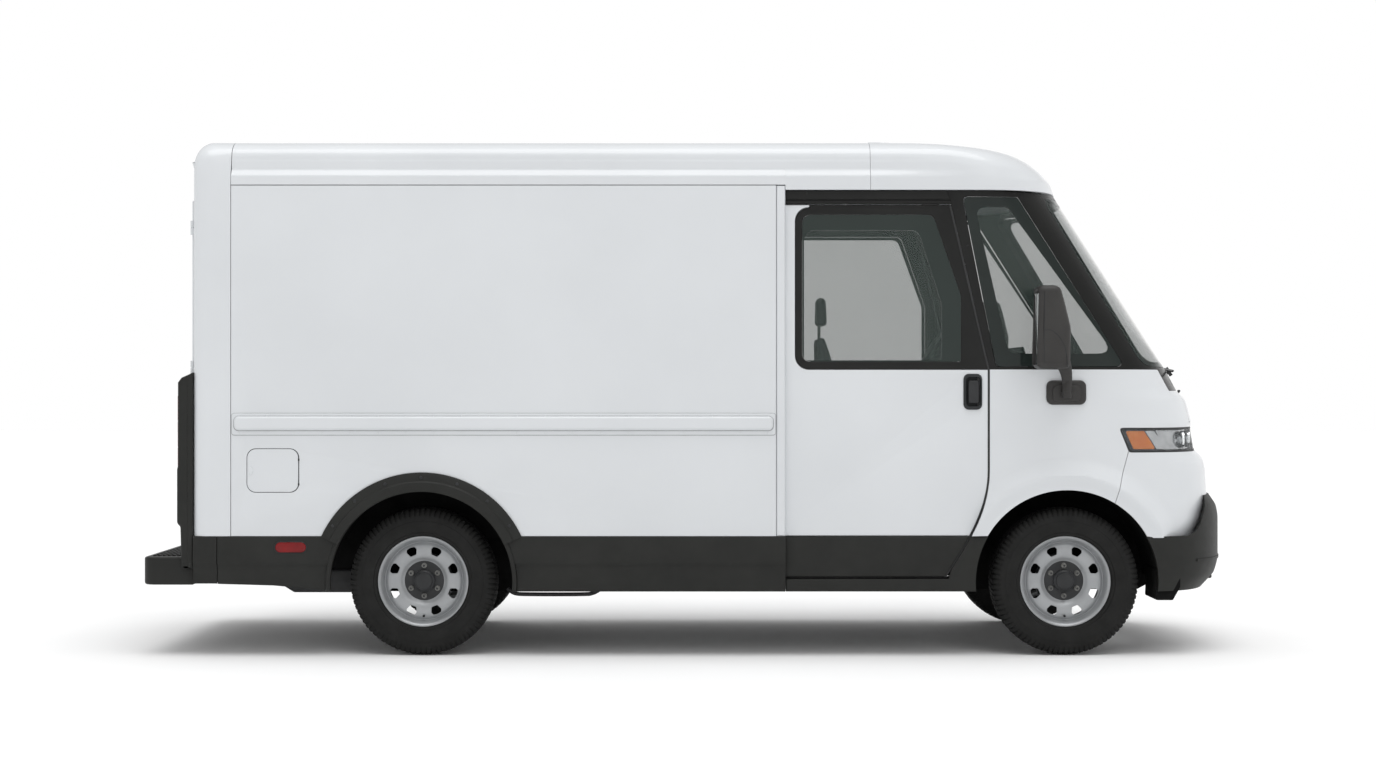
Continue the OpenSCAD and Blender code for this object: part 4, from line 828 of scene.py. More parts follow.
def door_outline(grow=0.0, back=DOOR_BACK):
    lean = (DOOR_FRONT - 0.005 - (FRONT_AXLE - 0.630)) / (DOOR_TOP - BELT)
    swept = [(FRONT_AXLE - 0.657 + grow + 0.235 * math.sin(math.radians(90 * s)), DOOR_LOW + 0.573 * s)
             for s in np.linspace(0, 1, 17)[1:]]
    return ([(back, DOOR_LOW - grow), (FRONT_AXLE - 0.657 + grow, DOOR_LOW - grow)] + swept
            + [(DOOR_FRONT + grow, BELT), (DOOR_FRONT - 0.005 - lean * (DOOR_TOP - BELT) + grow,
                                           DOOR_TOP + grow),
               (back, DOOR_TOP + grow)])


def prism(loop, lo, hi, plane="xz"):
    return plate([loop], lo, hi, 0, 0, plane)


LAMP_Z = (1.106, 1.228)


def lamp_outline(grow=0.0):
    x = FRONT_AXLE + 0.286
    return rounded([(x - grow, LAMP_Z[1] + grow), (x + 0.055 - grow, LAMP_Z[0] - grow),
                    (FRONT_AXLE + 1.0, LAMP_Z[0] - grow), (FRONT_AXLE + 1.0, LAMP_Z[1] + grow)],
                   [0.016, 0.02, 0.001, 0.001])


LAMP_FRONT_Y = 0.470


def lamp_cutters(grow):
    outline = lamp_outline(grow)
    return [prism(outline, LAMP_FRONT_Y - grow, 1.2), prism(outline, -1.2, -LAMP_FRONT_Y + grow)]


def cab_body():
    cab = make("cab_panels", shell(fine_levels(NOSE), SKIN, FRONT_AXLE - 0.70, 300, flare), WHITE, "truck",
               angle=28, replaces=["cab_shell"])
    across = 1.2
    carve(cab, [prism(door_outline(GAP, 1.0), -across, across),
                prism(arc(FRONT_AXLE, WHEEL_Z, ARCH_R, 0, 357, 119), -across, across),
                prism(rectangle((1.0, 0.5), (FRONT_AXLE - 0.1, CLAD_TOP)), -across, across),
                prism(rectangle((FRONT_AXLE + 0.30, 1.258), (3.2, 1.432)), -0.702, 0.702),
                prism(rectangle((FRONT_AXLE + 0.20, 1.432), (3.2, 1.560)), -0.822, 0.822),
                prism([(FRONT_AXLE + 0.3305, LAMP_Z[0]), (FRONT_AXLE + 0.3335, LAMP_Z[0]),
                       (FRONT_AXLE + 0.2515, 0.80),
                       (FRONT_AXLE + 0.2485, 0.80)], -across, across),
                *lamp_cutters(0.006)], angle=28)
    # Painted shade: a grey sheet behind the fender's seam slit, coloured to draw the seam's dark line.
    behind = patch(fine_levels([level(0.91, 0.885, 0.625), level(1.10, 0.812, 0.562)], 0.03, 0),
                   lambda z: FRONT_AXLE + 0.26,
                   0.985, 0.021, 0.004, 12)
    for side, sign in SIDES.items():
        make(f"fender_seam_{side}", behind, GAP_SHADE, "truck", sign)
    bonnet = patch(fine_levels(NOSE[7:10], 0.012, 0.010), None, 0.698, 0.0, 0.016, 90, 0)
    piece = make("hood_panel", bonnet, WHITE, "hood", angle=30, replaces=["hood"])
    carve(piece, [prism(rounded(rectangle((-0.698, 1.261), (0.698, 1.4285)), 0.020), 2.2, 3.1, "yz")],
          "INTERSECT")
    lugs = []
    pin = (FRONT_AXLE + 0.723, 1.431)
    for y in (-0.42, 0.42):
        lugs.append(revolve([(0.0026, y - 0.0145), (0.006, y - 0.0145), (0.006, y + 0.0145),
                             (0.0026, y + 0.0145),
                             (0.0026, y - 0.0145)], (pin[0], 0, pin[1]), 20))
        lugs.append(box((pin[0] - 0.045, y - 0.0145, pin[1] - 0.012),
                        (pin[0] + 0.001, y + 0.0145, pin[1] - 0.005), 0.002))
    make("hood_knuckles", join(lugs), HUB, "hood")


def cowl():
    """Black cowl panel under the windshield, with its air slots."""
    sheet_levels = fine_levels(NOSE[9:11], 0.012, 0.0)
    panel = make("cowl_panel", patch(sheet_levels, None, 0.819, 0.001, 0.014, 90, 0), PILLAR, "truck")
    slots = [prism(rectangle((y, 1.462), (y + 0.012, 1.512), 0.005), 2.2, 3.1, "yz")
             for y in np.arange(-0.66, 0.66, 0.03) if abs(y - 0.56) > 0.06 and abs(y + 0.08) > 0.06]
    whole = join(slots)
    carve(panel, [whole])


def windshield_outline(grow=0.0, r=0.07):
    return rounded([(-0.925 - grow, BELT + 0.012 - grow), (0.925 + grow, BELT + 0.012 - grow),
                    (0.872 + grow, HEADER - 0.030 + grow), (-0.872 - grow, HEADER - 0.030 + grow)], r)


def quarter_outline(left=0.0, right=0.0, top=0.0, bottom=0.0, r=0.03):
    z0, z1 = BELT + 0.014 + bottom, HEADER - 0.034 - top
    return rounded([(FRONT_AXLE - 0.385 + left, z0), (FRONT_AXLE + 0.318 - right, z0),
                    (FRONT_AXLE - 0.262 - right, z1), (FRONT_AXLE - 0.566 + left, z1)], r)


def greenhouse():
    """Black pillars round the windshield and the quarter windows."""
    levels = fine_levels(WINDSHIELD, 0.03, 0.0)
    across = 1.2
    frame_piece = make("window_frame", shell(levels, 0.026, FRONT_AXLE - 0.76, 240), PILLAR, "truck",
                       replaces=["window_pillars"])
    lean = (0.652 - 0.026) / (HEADER - BELT)
    front = [(FRONT_AXLE + 0.29, BELT - 0.04), (3.3, BELT - 0.04), (3.3, HEADER + 0.04),
             (FRONT_AXLE + 0.29 - lean * (HEADER - BELT + 0.08), HEADER + 0.04)]
    opening = prism(windshield_outline(), 1.0, 3.3, "yz")
    cutters = [prism(door_outline(GAP, 1.0), -across, across),
               prism(rectangle((1.0, BELT - 0.1), (FRONT_AXLE - 0.64, 2.7)), -across, across)]
    for sign in (1, -1):
        a, b = sorted((sign * 0.86, sign * across))
        cutters.append(prism(quarter_outline(), a, b))
    carve(frame_piece, cutters)
    wedge = bpy_solid(opening, prism(front, -across, across))
    carve(frame_piece, [wedge])
    pane_solid = prism(windshield_outline(-0.003), 1.0, 3.3, "yz")
    glass = make("windshield", shell(levels, 0.007, FRONT_AXLE - 0.05, 240), GLASS, "truck",
                 replaces=["cab_glass"])
    carve(glass, [bpy_solid(pane_solid, prism(front, -across, across))], "INTERSECT")
    edge = make("windshield_frit", shell(levels, 0.0085, FRONT_AXLE - 0.05, 240), FRIT, "truck")
    carve(edge, [bpy_solid(pane_solid, prism(front, -across, across))], "INTERSECT")
    carve(edge, [prism(windshield_outline(-0.030, 0.07), 1.0, 3.3, "yz")])
    for side, sign in SIDES.items():
        a, b = sorted((sign * 0.90, sign * across))
        inner = (0.070, 0.058, 0.058, 0.072, 0.05) if sign < 0 else (0.022, 0.022, 0.022, 0.022, 0.03)
        shrunk = (*[v - 0.001 for v in inner[:4]], inner[4])
        pane = make(f"quarter_frit_{side}", shell(levels, 0.010, FRONT_AXLE - 0.72, 240), FRIT, "truck")
        carve(pane, [prism(quarter_outline(0.004, 0.004, 0.003, 0.003), a, b)], "INTERSECT")
        carve(pane, [prism(quarter_outline(*inner), a, b)])
        clear = make(f"quarter_glass_{side}", shell(levels, 0.006, FRONT_AXLE - 0.72, 240), GLASS, "truck")
        carve(clear, [prism(quarter_outline(*shrunk), a, b)], "INTERSECT")


def bpy_solid(first, second):
    """The part that two solids share, as (points, faces)."""
    piece = link("shared", mesh_data("shared", *first))
    carve(piece, [second], "INTERSECT")
    result = mesh_parts(piece)
    bpy.data.objects.remove(piece)
    return result


def track_headers():
    """Black header over each cab door, with the groove that the door's seal runs in."""
    x0, x1 = POCKET + 0.003, FRONT_AXLE - 0.622
    for side, sign in SIDES.items():
        upper = plate([[(x0, DOOR_TOP + 0.030), (x1 - 0.008, DOOR_TOP + 0.030), (x1 - 0.030, HEADER - 0.001),
                        (x0, HEADER - 0.001)]], CAB_HALF - 0.002, CAB_HALF + 0.016, 0, 0.005)
        lower = plate([rectangle((x0, DOOR_TOP + GAP + 0.003), (x1 - 0.004, DOOR_TOP + 0.024))],
                      CAB_HALF - 0.002, CAB_HALF + 0.010, 0, 0.004)
        backing = plate([rectangle((x0, DOOR_TOP + 0.004), (x1 - 0.004, HEADER - 0.001))], CAB_HALF - 0.005,
                        CAB_HALF + 0.004)
        make(f"door_header_{side}", join([upper, lower, backing]), PILLAR, "truck", sign)


def front_lamps():
    """A dark bowl, an amber block, a slanted bright band and reflectors behind a clear lens."""
    rows = fine_levels([level(LAMP_Z[0] + 0.001, 0.811, 0.560), level(LAMP_Z[1] - 0.001, 0.791, 0.560)],
                       0.008, 0)

    def slanted(x0, lean):
        return lambda z: FRONT_AXLE + x0 + lean * (LAMP_Z[1] - z) / (LAMP_Z[1] - LAMP_Z[0])

    inside = rows[1:-1]
    for side, sign in SIDES.items():
        bowl = patch(rows, slanted(0.288, 0.055), LAMP_FRONT_Y + 0.002, 0.040, 0.006)
        make(f"headlamp_bowl_{side}", bowl, CHASSIS, "truck", sign, replaces=["headlamps"])
        block = patch(inside, slanted(0.312, 0.050), 0.93, 0.012, 0.010)
        amber = make(f"turn_lamp_{side}", block, AMBER, "truck", sign)
        a, b = sorted((0.5 * sign, 1.2 * sign))
        z0, z1 = LAMP_Z[0] + 0.012, LAMP_Z[1] - 0.012
        x = FRONT_AXLE
        carve(amber, [prism(rounded([(x + 0.318, z1), (x + 0.362, z0), (x + 0.486, z0), (x + 0.420, z1)],
                                    0.01), a, b)],
              "INTERSECT")
        band = make(f"lamp_band_{side}", patch(inside, slanted(0.36, 0.03), 0.75, 0.013, 0.012), CHROME,
                    "truck",
                    sign)
        carve(band, [prism([(x + 0.426, z1), (x + 0.492, z0), (x + 0.560, z0), (x + 0.476, z1)], a, b)],
              "INTERSECT")
        frosted = patch(inside, slanted(0.50, 0.06), LAMP_FRONT_Y + 0.012, 0.030, 0.006)
        make(f"lamp_reflector_{side}", frosted, CHROME, "truck", sign)
        cups = []
        for y in (0.80, 0.655, 0.545):
            z = (LAMP_Z[0] + LAMP_Z[1]) / 2
            nose = FRONT_AXLE + 0.801 - 0.560 + 0.560 * (1 - (y / CAB_HALF) ** 3) ** (1 / 3)
            cups.append(revolve([(0.006, nose - 0.050), (0.024, nose - 0.044), (0.040, nose - 0.026),
                                 (0.043, nose - 0.018), (0.046, nose - 0.018), (0.047, nose - 0.03)],
                                (0, y, z), 32, "x"))
        make(f"lamp_cups_{side}", join(cups), SILVERED, "truck", sign)
        lens = make(f"headlamp_lens_{side}", patch(rows, slanted(0.200, 0.0), LAMP_FRONT_Y + 0.001, -0.001,
                                                   0.004),
                    CLEAR, "truck", sign)
        c, d = sorted((0.3 * sign, 1.2 * sign))
        carve(lens, [prism(lamp_outline(-0.004), c, d)], "INTERSECT")
        rim_rows = fine_levels([level(1.094, 0.814, 0.560), level(1.240, 0.789, 0.560)], 0.008, 0)
        rim = patch(rim_rows, slanted(0.2, 0.0), LAMP_FRONT_Y - 0.004, -0.0005, 0.012)
        gasket = make(f"headlamp_gasket_{side}", rim, CHASSIS, "truck", sign)
        carve(gasket, [prism(lamp_outline(0.005), c, d)], "INTERSECT")
        carve(gasket, [prism(lamp_outline(-0.005), *sorted((sign * (LAMP_FRONT_Y + 0.004), sign * 1.2)))])


def front_bumper():
    """Black bumper cover round the nose, with an intake, a mesh and a place for the plate."""
    across = 1.2
    cover = make("bumper_cover", shell(fine_levels(BUMPER, 0.014, 0.010), 0.030, FRONT_AXLE + 0.20, 260),
                 CLADDING,
                 "truck", angle=30, replaces=["front_bumper"])
    upper = [(2.2, CLAD_TOP - 0.004), (2.690, CLAD_TOP - 0.004), (2.735, 0.668), (2.765, 0.71), (2.800, 0.80),
             (2.822, 0.90), (2.2, 0.90)]
    carve(cover, [prism(upper, -across, across),
                  prism(arc(FRONT_AXLE, WHEEL_Z, ARCH_R - 0.004, 0, 357, 119), -across, across),
                  prism(rectangle((-0.62, 0.405), (0.62, 0.470), 0.03), 2.7, 3.2, "yz"),
                  *[prism(rectangle((y - 0.06, 0.505), (y + 0.06, 0.590), 0.018), 2.7, 3.2,
                          "yz") for y in (-0.3, 0.3)]], angle=30)
    bars = []
    for z in np.arange(0.395, 0.485, 0.018):
        bars.append(patch(fine_levels([level(z, 0.918, 0.630, BUMPER_HALF - 0.03),
                                       level(z + 0.006, 0.918, 0.630, BUMPER_HALF - 0.03)],
                                      0.006, 0), None, 0.66, 0.0, 0.02, 40, 0))
    for z in np.arange(0.700, 0.830, 0.026):
        rows = [at for at in fine_levels(BUMPER, 0.014, 0.010) if z <= at[0] <= z + 0.016]
        if len(rows) > 1:
            bars.append(patch(rows, None, 0.86, -0.0045, 0.02, 80, 0))
    for z in np.arange(0.505, 0.690, 0.026):
        for s in (1, -1):
            rows = [at for at in fine_levels(BUMPER, 0.014, 0.010) if z <= at[0] <= z + 0.016]
            if len(rows) > 1:
                bars.append([(p[0], p[1] * s, p[2]) for p in
                             patch(rows, lambda h: FRONT_AXLE + 0.72, 0.36, -0.0045, 0.02, 40, 1)[0]])
                faces = patch(rows, lambda h: FRONT_AXLE + 0.72, 0.36, -0.0045, 0.02, 40, 1)[1]
                bars[-1] = (bars[-1], faces)
    make("bumper_mesh", join(bars), CLADDING, "truck")
    x = FRONT_AXLE + 0.955
    holder = plate([rectangle((-0.17, 0.52), (0.17, 0.68), 0.015),
                    *[arc(y, 0.6 + z, 0.0035, 0, 324, 9) for y in (-0.089, 0.089) for z in (-0.0605,
                            0.0605)]],
                   x - 0.02, x, 0, 0.003, "yz")
    beam = [box((x - 0.215, -0.64, 0.592), (x - 0.175, 0.64, 0.630), 0.006)]
    for s in (1, -1):
        a, b = sorted((s * 0.48, s * 0.54))
        beam.append(box((x - 0.175, a, 0.594), (x - 0.060, b, 0.628), 0.004))
    make("plate_holder", join([holder, *beam]), CLADDING, "truck")


# ---------- doors ----------
def frame_hole(grow=0.0, r=0.05):
    x0, x1 = DOOR_BACK + 0.122, FRONT_AXLE - 0.571
    return rounded([(x0 - grow, 1.590 - grow), (x1 + grow, 1.590 - grow), (x1 + grow, 1.947),
                    (FRONT_AXLE - 0.722 + grow, 2.384 + grow), (x0 - grow, 2.384 + grow)],
                   [r, 0.012, 0.06, r, r])


def clear_hole(grow=0.0):
    x0 = DOOR_BACK + 0.132
    return rounded([(x0 - grow, 1.598 - grow), (1.345 + grow, 1.598 - grow), (1.345 + grow, 1.90),
                    (1.218 + grow, 2.300 + grow), (x0 - grow, 2.300 + grow)], [0.02, 0.02, 0.03, 0.06, 0.06])


def cab_doors():
    """White skin, black lower part and black window frame, all on the sliding door."""
    outline = door_outline()
    lower = clip(outline, 1, CLAD_TOP - SEAM / 2, False)
    edge_x, edge_r = DOOR_BACK + 0.084, 0.075
    body_loop = clip(clip(outline, 1, CLAD_TOP + SEAM / 2, True), 1, BELT - SEAM / 2, False)
    front_line = [p for p in body_loop if p[0] > DOOR_BACK + 0.001]
    skin = ([(DOOR_BACK, CLAD_TOP + SEAM / 2), *front_line]
            + arc(edge_x - SEAM / 2 + edge_r, BELT - SEAM / 2 + edge_r, edge_r, 270, 180, 8)
            + arc(edge_x - SEAM / 2 + edge_r, DOOR_TOP - 0.012 - edge_r, edge_r, 180, 90, 8)
            + [(DOOR_BACK + 0.16, DOOR_TOP - 0.012), (DOOR_BACK + 0.16, DOOR_TOP), (DOOR_BACK, DOOR_TOP)])
    top_line = [p for p in clip(outline, 1, BELT + SEAM / 2, True) if p[0] > DOOR_BACK + 0.001]
    upper = (top_line + [(DOOR_BACK + 0.162, DOOR_TOP),
                         (DOOR_BACK + 0.162, DOOR_TOP - 0.014)] + arc(edge_x + SEAM / 2 + edge_r,
                                 DOOR_TOP - 0.014 - edge_r, edge_r, 90, 180, 8)
             + arc(edge_x + SEAM / 2 + edge_r, BELT + SEAM / 2 + edge_r, edge_r, 180, 270, 8))
    recess = rectangle((1.471, 1.340), (1.556, 1.515), 0.024)
    bezel = [rectangle((1.461, 1.331), (1.562, 1.525), 0.030),
             rectangle((1.476, 1.350), (1.553, 1.506), 0.018)]
    for side, sign in SIDES.items():
        body = f"door_{side}"
        make(f"{body}_skin", plate([skin, recess], CAB_HALF - DOOR_T, CAB_HALF, 0, 0.004), WHITE, body,
             sign, replaces=[f"cab_door_{side}"])
        make(f"{body}_kick", plate([lower], CAB_HALF - DOOR_T, CAB_HALF + 0.004, 0, 0.008), CLADDING, body,
             sign)
        make(f"{body}_frame", plate([upper, frame_hole()], CAB_HALF - DOOR_T, CAB_HALF, 0, 0.004), PILLAR,
             body,
             sign)
        clear = clear_hole() if sign < 0 else frame_hole(-0.020)
        make(f"{body}_frit", plate([frame_hole(-0.001), clear], CAB_HALF - 0.012, CAB_HALF - 0.005),
             DARK_GLASS,
             body, sign, replaces=[f"door_glass_{side}"])
        make(f"{body}_pane", plate([offset(turned(clear), 0.0005)], CAB_HALF - 0.012, CAB_HALF - 0.005),
             GLASS, body,
             sign)
        cup = [plate(bezel, CAB_HALF - 0.024, CAB_HALF + 0.009, 0, 0.007),
               plate([rectangle((1.474, 1.346), (1.546, 1.510), 0.02)], CAB_HALF - 0.028, CAB_HALF - 0.023)]
        make(f"{body}_handle_bezel", join(cup), CAB, body, sign)
        hangers = []
        track = CAB_HALF - DOOR_T / 2
        for x in (DOOR_BACK + 0.060, FRONT_AXLE - 0.780):
            for y in (track - 0.014, track + 0.006):
                hangers.append(box((x, y, DOOR_TOP - 0.001), (x + 0.09, y + 0.008, DOOR_TOP + 0.042), 0.002))
            hangers.append(box((x, track - 0.012, DOOR_TOP - 0.001),
                               (x + 0.09, track + 0.012, DOOR_TOP + 0.008), 0.001))
        for z in (1.352, 1.491):
            hangers.append(revolve([(0, z - 0.004), (0.004, z - 0.004), (0.004, z + 0.012), (0, z + 0.012)],
                                   (FRONT_AXLE - 0.479, CAB_HALF - 0.010, 0), 16, "z"))
        make(f"{body}_hangers", join(hangers), IRON, body, sign)
        front = [(FRONT_AXLE - 0.657, DOOR_LOW)] + [p for p in outline if p[0] > FRONT_AXLE - 0.65]
        strip = [(x + 0.0045, z) for x, z in front] + [(x - 0.006, z) for x, z in reversed(front)]
        make(f"{body}_edge_seal", plate([strip], CAB_HALF - DOOR_T - 0.001, CAB_HALF + 0.0012), CHASSIS, body,
             sign)
        grip = plate([rectangle((1.487, 1.366), (1.545, 1.489), 0.012)], CAB_HALF - 0.005, CAB_HALF + 0.010,
                     0.004, 0.006)
        barrel = revolve([(0.0041, 1.366), (0.0075, 1.366), (0.0075, 1.489), (0.0041, 1.489),
                          (0.0041, 1.366)],
                         (FRONT_AXLE - 0.479, CAB_HALF - 0.010, 0), 24, "z")
        make(f"{body}_grip", join([grip, barrel]), HUB, f"handle_{side}", sign,
             replaces=[f"door_handle_{side}"])


# ---------- lower cladding ----------
def section_sweep(x0, x1, profile):
    """A closed (y, z) profile run along X."""
    n = len(profile)
    points = [(x0, y, z) for y, z in profile] + [(x1, y, z) for y, z in profile]
    faces = [(i, (i + 1) % n, n + (i + 1) % n, n + i) for i in range(n)]
    faces += [tuple(range(n)), tuple(range(2 * n - 1, n - 1, -1))]
    return points, faces


def cladding_profile(bottom, face, back):
    """The cladding's section: upright above a crease, tucked in below it."""
    return [(back, CLAD_TOP), (face - 0.004, CLAD_TOP), (face, CLAD_TOP - 0.005), (face + 0.003, 0.560),
            (face + 0.004, 0.512), (face + 0.001, 0.500), (face - 0.007, 0.490), (face - 0.010, 0.470),
            (face - 0.012, bottom + 0.014), (face - 0.018, bottom + 0.002), (face - 0.024, bottom),
            (back, bottom)]


def lower_cladding():
    arch = arc(REAR_AXLE, WHEEL_Z, REAR_ARCH_R + 0.004, 0, 357, 119)
    marker = rectangle((REAR_AXLE - 0.792, 0.558), (REAR_AXLE - 0.614, 0.624), 0.033)
    x_seam = REAR_AXLE - 1.100
    for side, sign in SIDES.items():
        a, b = sorted((sign * 0.9, sign * 1.2))
        face, back = HALF + 0.004, HALF - SKIN
        main = make(f"lower_cladding_{side}", section_sweep(x_seam + 0.002, POCKET + 0.001,
                    cladding_profile(0.351, face, back)), CLADDING, "truck", sign,
                    replaces=["side_cladding"])
        tail = [(x_seam - 0.1, 0.30), (REAR_AXLE - 0.42, 0.30), (REAR_AXLE - 0.42, 0.352),
                (REAR_AXLE - 0.80, 0.385),
                (x_seam - 0.1, 0.396)]
        carve(main, [prism(arch, a, b), prism(tail, a, b), prism(marker, *sorted((sign * (HALF - 0.004),
                sign * 1.2)))])
        corner = section_sweep(BOX_REAR, x_seam - 0.002, cladding_profile(0.394, face - 0.001, back))
        make(f"corner_cladding_{side}", corner, CLADDING, "truck", sign)
        rows = []
        start = math.degrees(math.asin((CLAD_TOP - WHEEL_Z - 0.003) / (REAR_ARCH_R + 0.104)))
        section = [(REAR_ARCH_R, HALF - SKIN), (REAR_ARCH_R, HALF + 0.022),
                   (REAR_ARCH_R + 0.004, HALF + 0.026),
                   (REAR_ARCH_R + 0.050, HALF + 0.024), (REAR_ARCH_R + 0.058, HALF + 0.016),
                   (REAR_ARCH_R + 0.094, HALF + 0.012), (REAR_ARCH_R + 0.104, HALF + 0.006),
                   (REAR_ARCH_R + 0.104, HALF - SKIN)]
        for angle in np.linspace(start, 180 - start, 72):
            c, s = math.cos(math.radians(angle)), math.sin(math.radians(angle))
            rows.append([(REAR_AXLE + r * c, y, WHEEL_Z + r * s) for r, y in section])
        make(f"rear_flare_{side}", capped(rows), CLADDING, "truck", sign)
        lip = []
        for angle in np.linspace(-5, 185, 90):
            c, s = math.cos(math.radians(angle)), math.sin(math.radians(angle))
            lip.append([(REAR_AXLE + r * c, y, WHEEL_Z + r * s) for r, y in
                        [(REAR_ARCH_R, HALF - 0.02), (REAR_ARCH_R, HALF + 0.010),
                         (REAR_ARCH_R + 0.006, HALF + 0.014),
                         (REAR_ARCH_R + 0.022, HALF + 0.012), (REAR_ARCH_R + 0.030, HALF - 0.02)]])
        make(f"rear_arch_lip_{side}", capped(lip), CLADDING, "truck", sign)
        bolts = []
        for angle in (33, 51, 70, 90, 110, 129, 147):
            x = REAR_AXLE + (REAR_ARCH_R + 0.076) * math.cos(math.radians(angle))
            z = WHEEL_Z + (REAR_ARCH_R + 0.076) * math.sin(math.radians(angle))
            bolts.append(plate([arc(x, z, 0.009, 0, 330, 11)], HALF + 0.008, HALF + 0.018, 0, 0.003))
        make(f"flare_bolts_{side}", join(bolts), HUB, "truck", sign)
        sill_piece(side, sign)
        lens = plate([rectangle((REAR_AXLE - 0.786, 0.563), (REAR_AXLE - 0.620, 0.619), 0.027)],
                     HALF - 0.004, HALF + 0.0085, 0, 0.006)
        make(f"side_marker_{side}", lens, RED, "truck", sign)
        rim_loop = plate([rectangle((REAR_AXLE - 0.7915, 0.5585), (REAR_AXLE - 0.6145, 0.6235), 0.032),
                          rectangle((REAR_AXLE - 0.7855, 0.5635), (REAR_AXLE - 0.6205, 0.6185), 0.027)],
                         HALF - 0.004, HALF + 0.0075, 0, 0.002)
        make(f"side_marker_rim_{side}", rim_loop, HUB, "truck", sign)


def capped(rows):
    """A closed strip swept from closed profiles, with both ends shut."""
    points, faces = sheet(rows, wrap=True)
    m = len(rows[0])
    last = len(points) - m
    return points, [*faces, tuple(range(m)), tuple(range(last, last + m))]


def sill_piece(side, sign):
    """Sill below the cab door, running up behind the front wheel."""
    x0 = POCKET + 0.004
    loop = [(x0, DOOR_LOW - 0.010), (x0, 0.351), (FRONT_AXLE - 0.430, 0.351),
            (FRONT_AXLE - 0.35, CLAD_TOP - 0.003),
            (FRONT_AXLE - 0.58, CLAD_TOP - 0.003), (FRONT_AXLE - 0.640, DOOR_LOW - 0.010)]
    points, faces = plate([loop], CAB_HALF - 0.040, CAB_HALF + 0.014, 0, 0.006)
    sill = make(f"door_sill_{side}", (points, faces), CLADDING, "truck", sign)
    backing = box((x0, CAB_HALF - 0.075, 0.360), (FRONT_AXLE - 0.560, CAB_HALF - 0.042, DOOR_LOW - 0.001))
    make(f"sill_backing_{side}", backing, CHASSIS, "truck", sign)
    a, b = sorted((sign * 0.9, sign * 1.2))
    carve(sill, [prism(door_outline(GAP), a, b), prism(arc(FRONT_AXLE, WHEEL_Z, ARCH_R - 0.004, 0, 357, 119),
                                                       a, b)])


# ---------- rear fittings ----------
def rear_step():
    """Bumper step with a rounded front, a ribbed top and its brackets."""
    x0, x1 = STEP_LOW.x, BOX_REAR - 0.004
    top = STEP_HIGH.z - 0.006
    deck = rounded(rectangle((x0, -0.985), (x1, 0.985)), [0.075, 0.012, 0.012, 0.075], 8)
    slab_piece = plate([deck], STEP_LOW.z, top, 0.014, 0.012, "xy", steps=5)
    ribs = [box((x0 + 0.040 + k * 0.026, -0.90, top - 0.001), (x0 + 0.052 + k * 0.026, 0.90, STEP_HIGH.z),
                0.003, "xy")
            for k in range(8)]
    arms = []
    for s in (1, -1):
        a, b = sorted((s * 0.30, s * 0.36))
        arms.append(box((x1, a, STEP_LOW.z + 0.010), (REAR_AXLE - 1.060, b, top - 0.004), 0.004))
        arms.append(box((REAR_AXLE - 1.080, a, STEP_LOW.z + 0.010), (REAR_AXLE - 1.040, b, 0.540), 0.004))
    make("rear_step_deck", join([slab_piece, *ribs]), CLADDING, "truck",
         replaces=["rear_step"])
    make("rear_step_arms", join(arms), CHASSIS, "truck")


def corner_guards():
    for side, sign in SIDES.items():
        x = BOX_REAR
        loop = rounded([(x, 0.474), (x - 0.066, 0.474), (x - 0.072, 0.700), (x - 0.090, 0.720),
                        (x - 0.090, 1.010),
                        (x - 0.085, 1.030), (x - 0.085, 1.478), (x - 0.066, 1.504), (x - 0.004, 1.532), (x,
                                1.530)],
                       [0.002, 0.01, 0.01, 0.01, 0.02, 0.02, 0.03, 0.02, 0.004, 0.002])
        guard = make(f"corner_guard_{side}", plate([loop], 0.950, 1.030, 0.010, 0.014, steps=5), CLADDING,
                     "truck",
                     sign, replaces=["corner_guards"])
        a, b = sorted((sign * 0.968, sign * 1.012))
        carve(guard, [prism(rectangle((x - 0.12, 0.990), (x - 0.070, 1.410)), a, b)])
        strip = plate([rectangle((x - 0.030, 0.48), (x - 0.004, 1.520), 0.01)], 1.029, 1.0345, 0, 0.004)
        make(f"guard_strip_{side}", strip, CLADDING, "truck", sign)
        lens = [box((x - 0.0885, 0.970, 0.992 + k * 0.139), (x - 0.070, 1.010, 0.992 + k * 0.139 + 0.137),
                    0.004, "yz")
                for k in range(3)]
        make(f"tail_lamp_{side}", join(lens), RED, "truck", sign, replaces=["tail_lamps"])
    high_lamps = [box((BOX_REAR - 0.014, y - 0.035, HEADER - 0.022),
                      (BOX_REAR + 0.002, y + 0.035, HEADER + 0.003),
                      0.005, "yz") for y in (-0.33, 0, 0.33, -0.90, 0.90)]
    make("roof_marker_lamps", join(high_lamps), RED, "truck")


def clearance_lamps():
    """Five amber lamps on the cab's brow, each on a small base."""
    lenses, bases = [], []
    for y in (-0.76, -0.17, 0.0, 0.17, 0.76):
        x = FRONT_AXLE - 0.300 - 0.060 * (abs(y) / 0.76) ** 2
        z = ROOF - 0.045 - 0.028 * (abs(y) / 0.76) ** 2
        lenses.append(box((x - 0.052, y - 0.032, z - 0.02), (x + 0.006, y + 0.032, z + 0.020), 0.012, "yz"))
        bases.append(box((x - 0.062, y - 0.036, z - 0.03), (x + 0.012, y + 0.036, z + 0.004), 0.010, "yz"))
    make("clearance_lamp_lenses", join(lenses), AMBER, "truck", replaces=["clearance_lamps"])
    make("clearance_lamp_bases", join(bases), CLADDING, "truck")


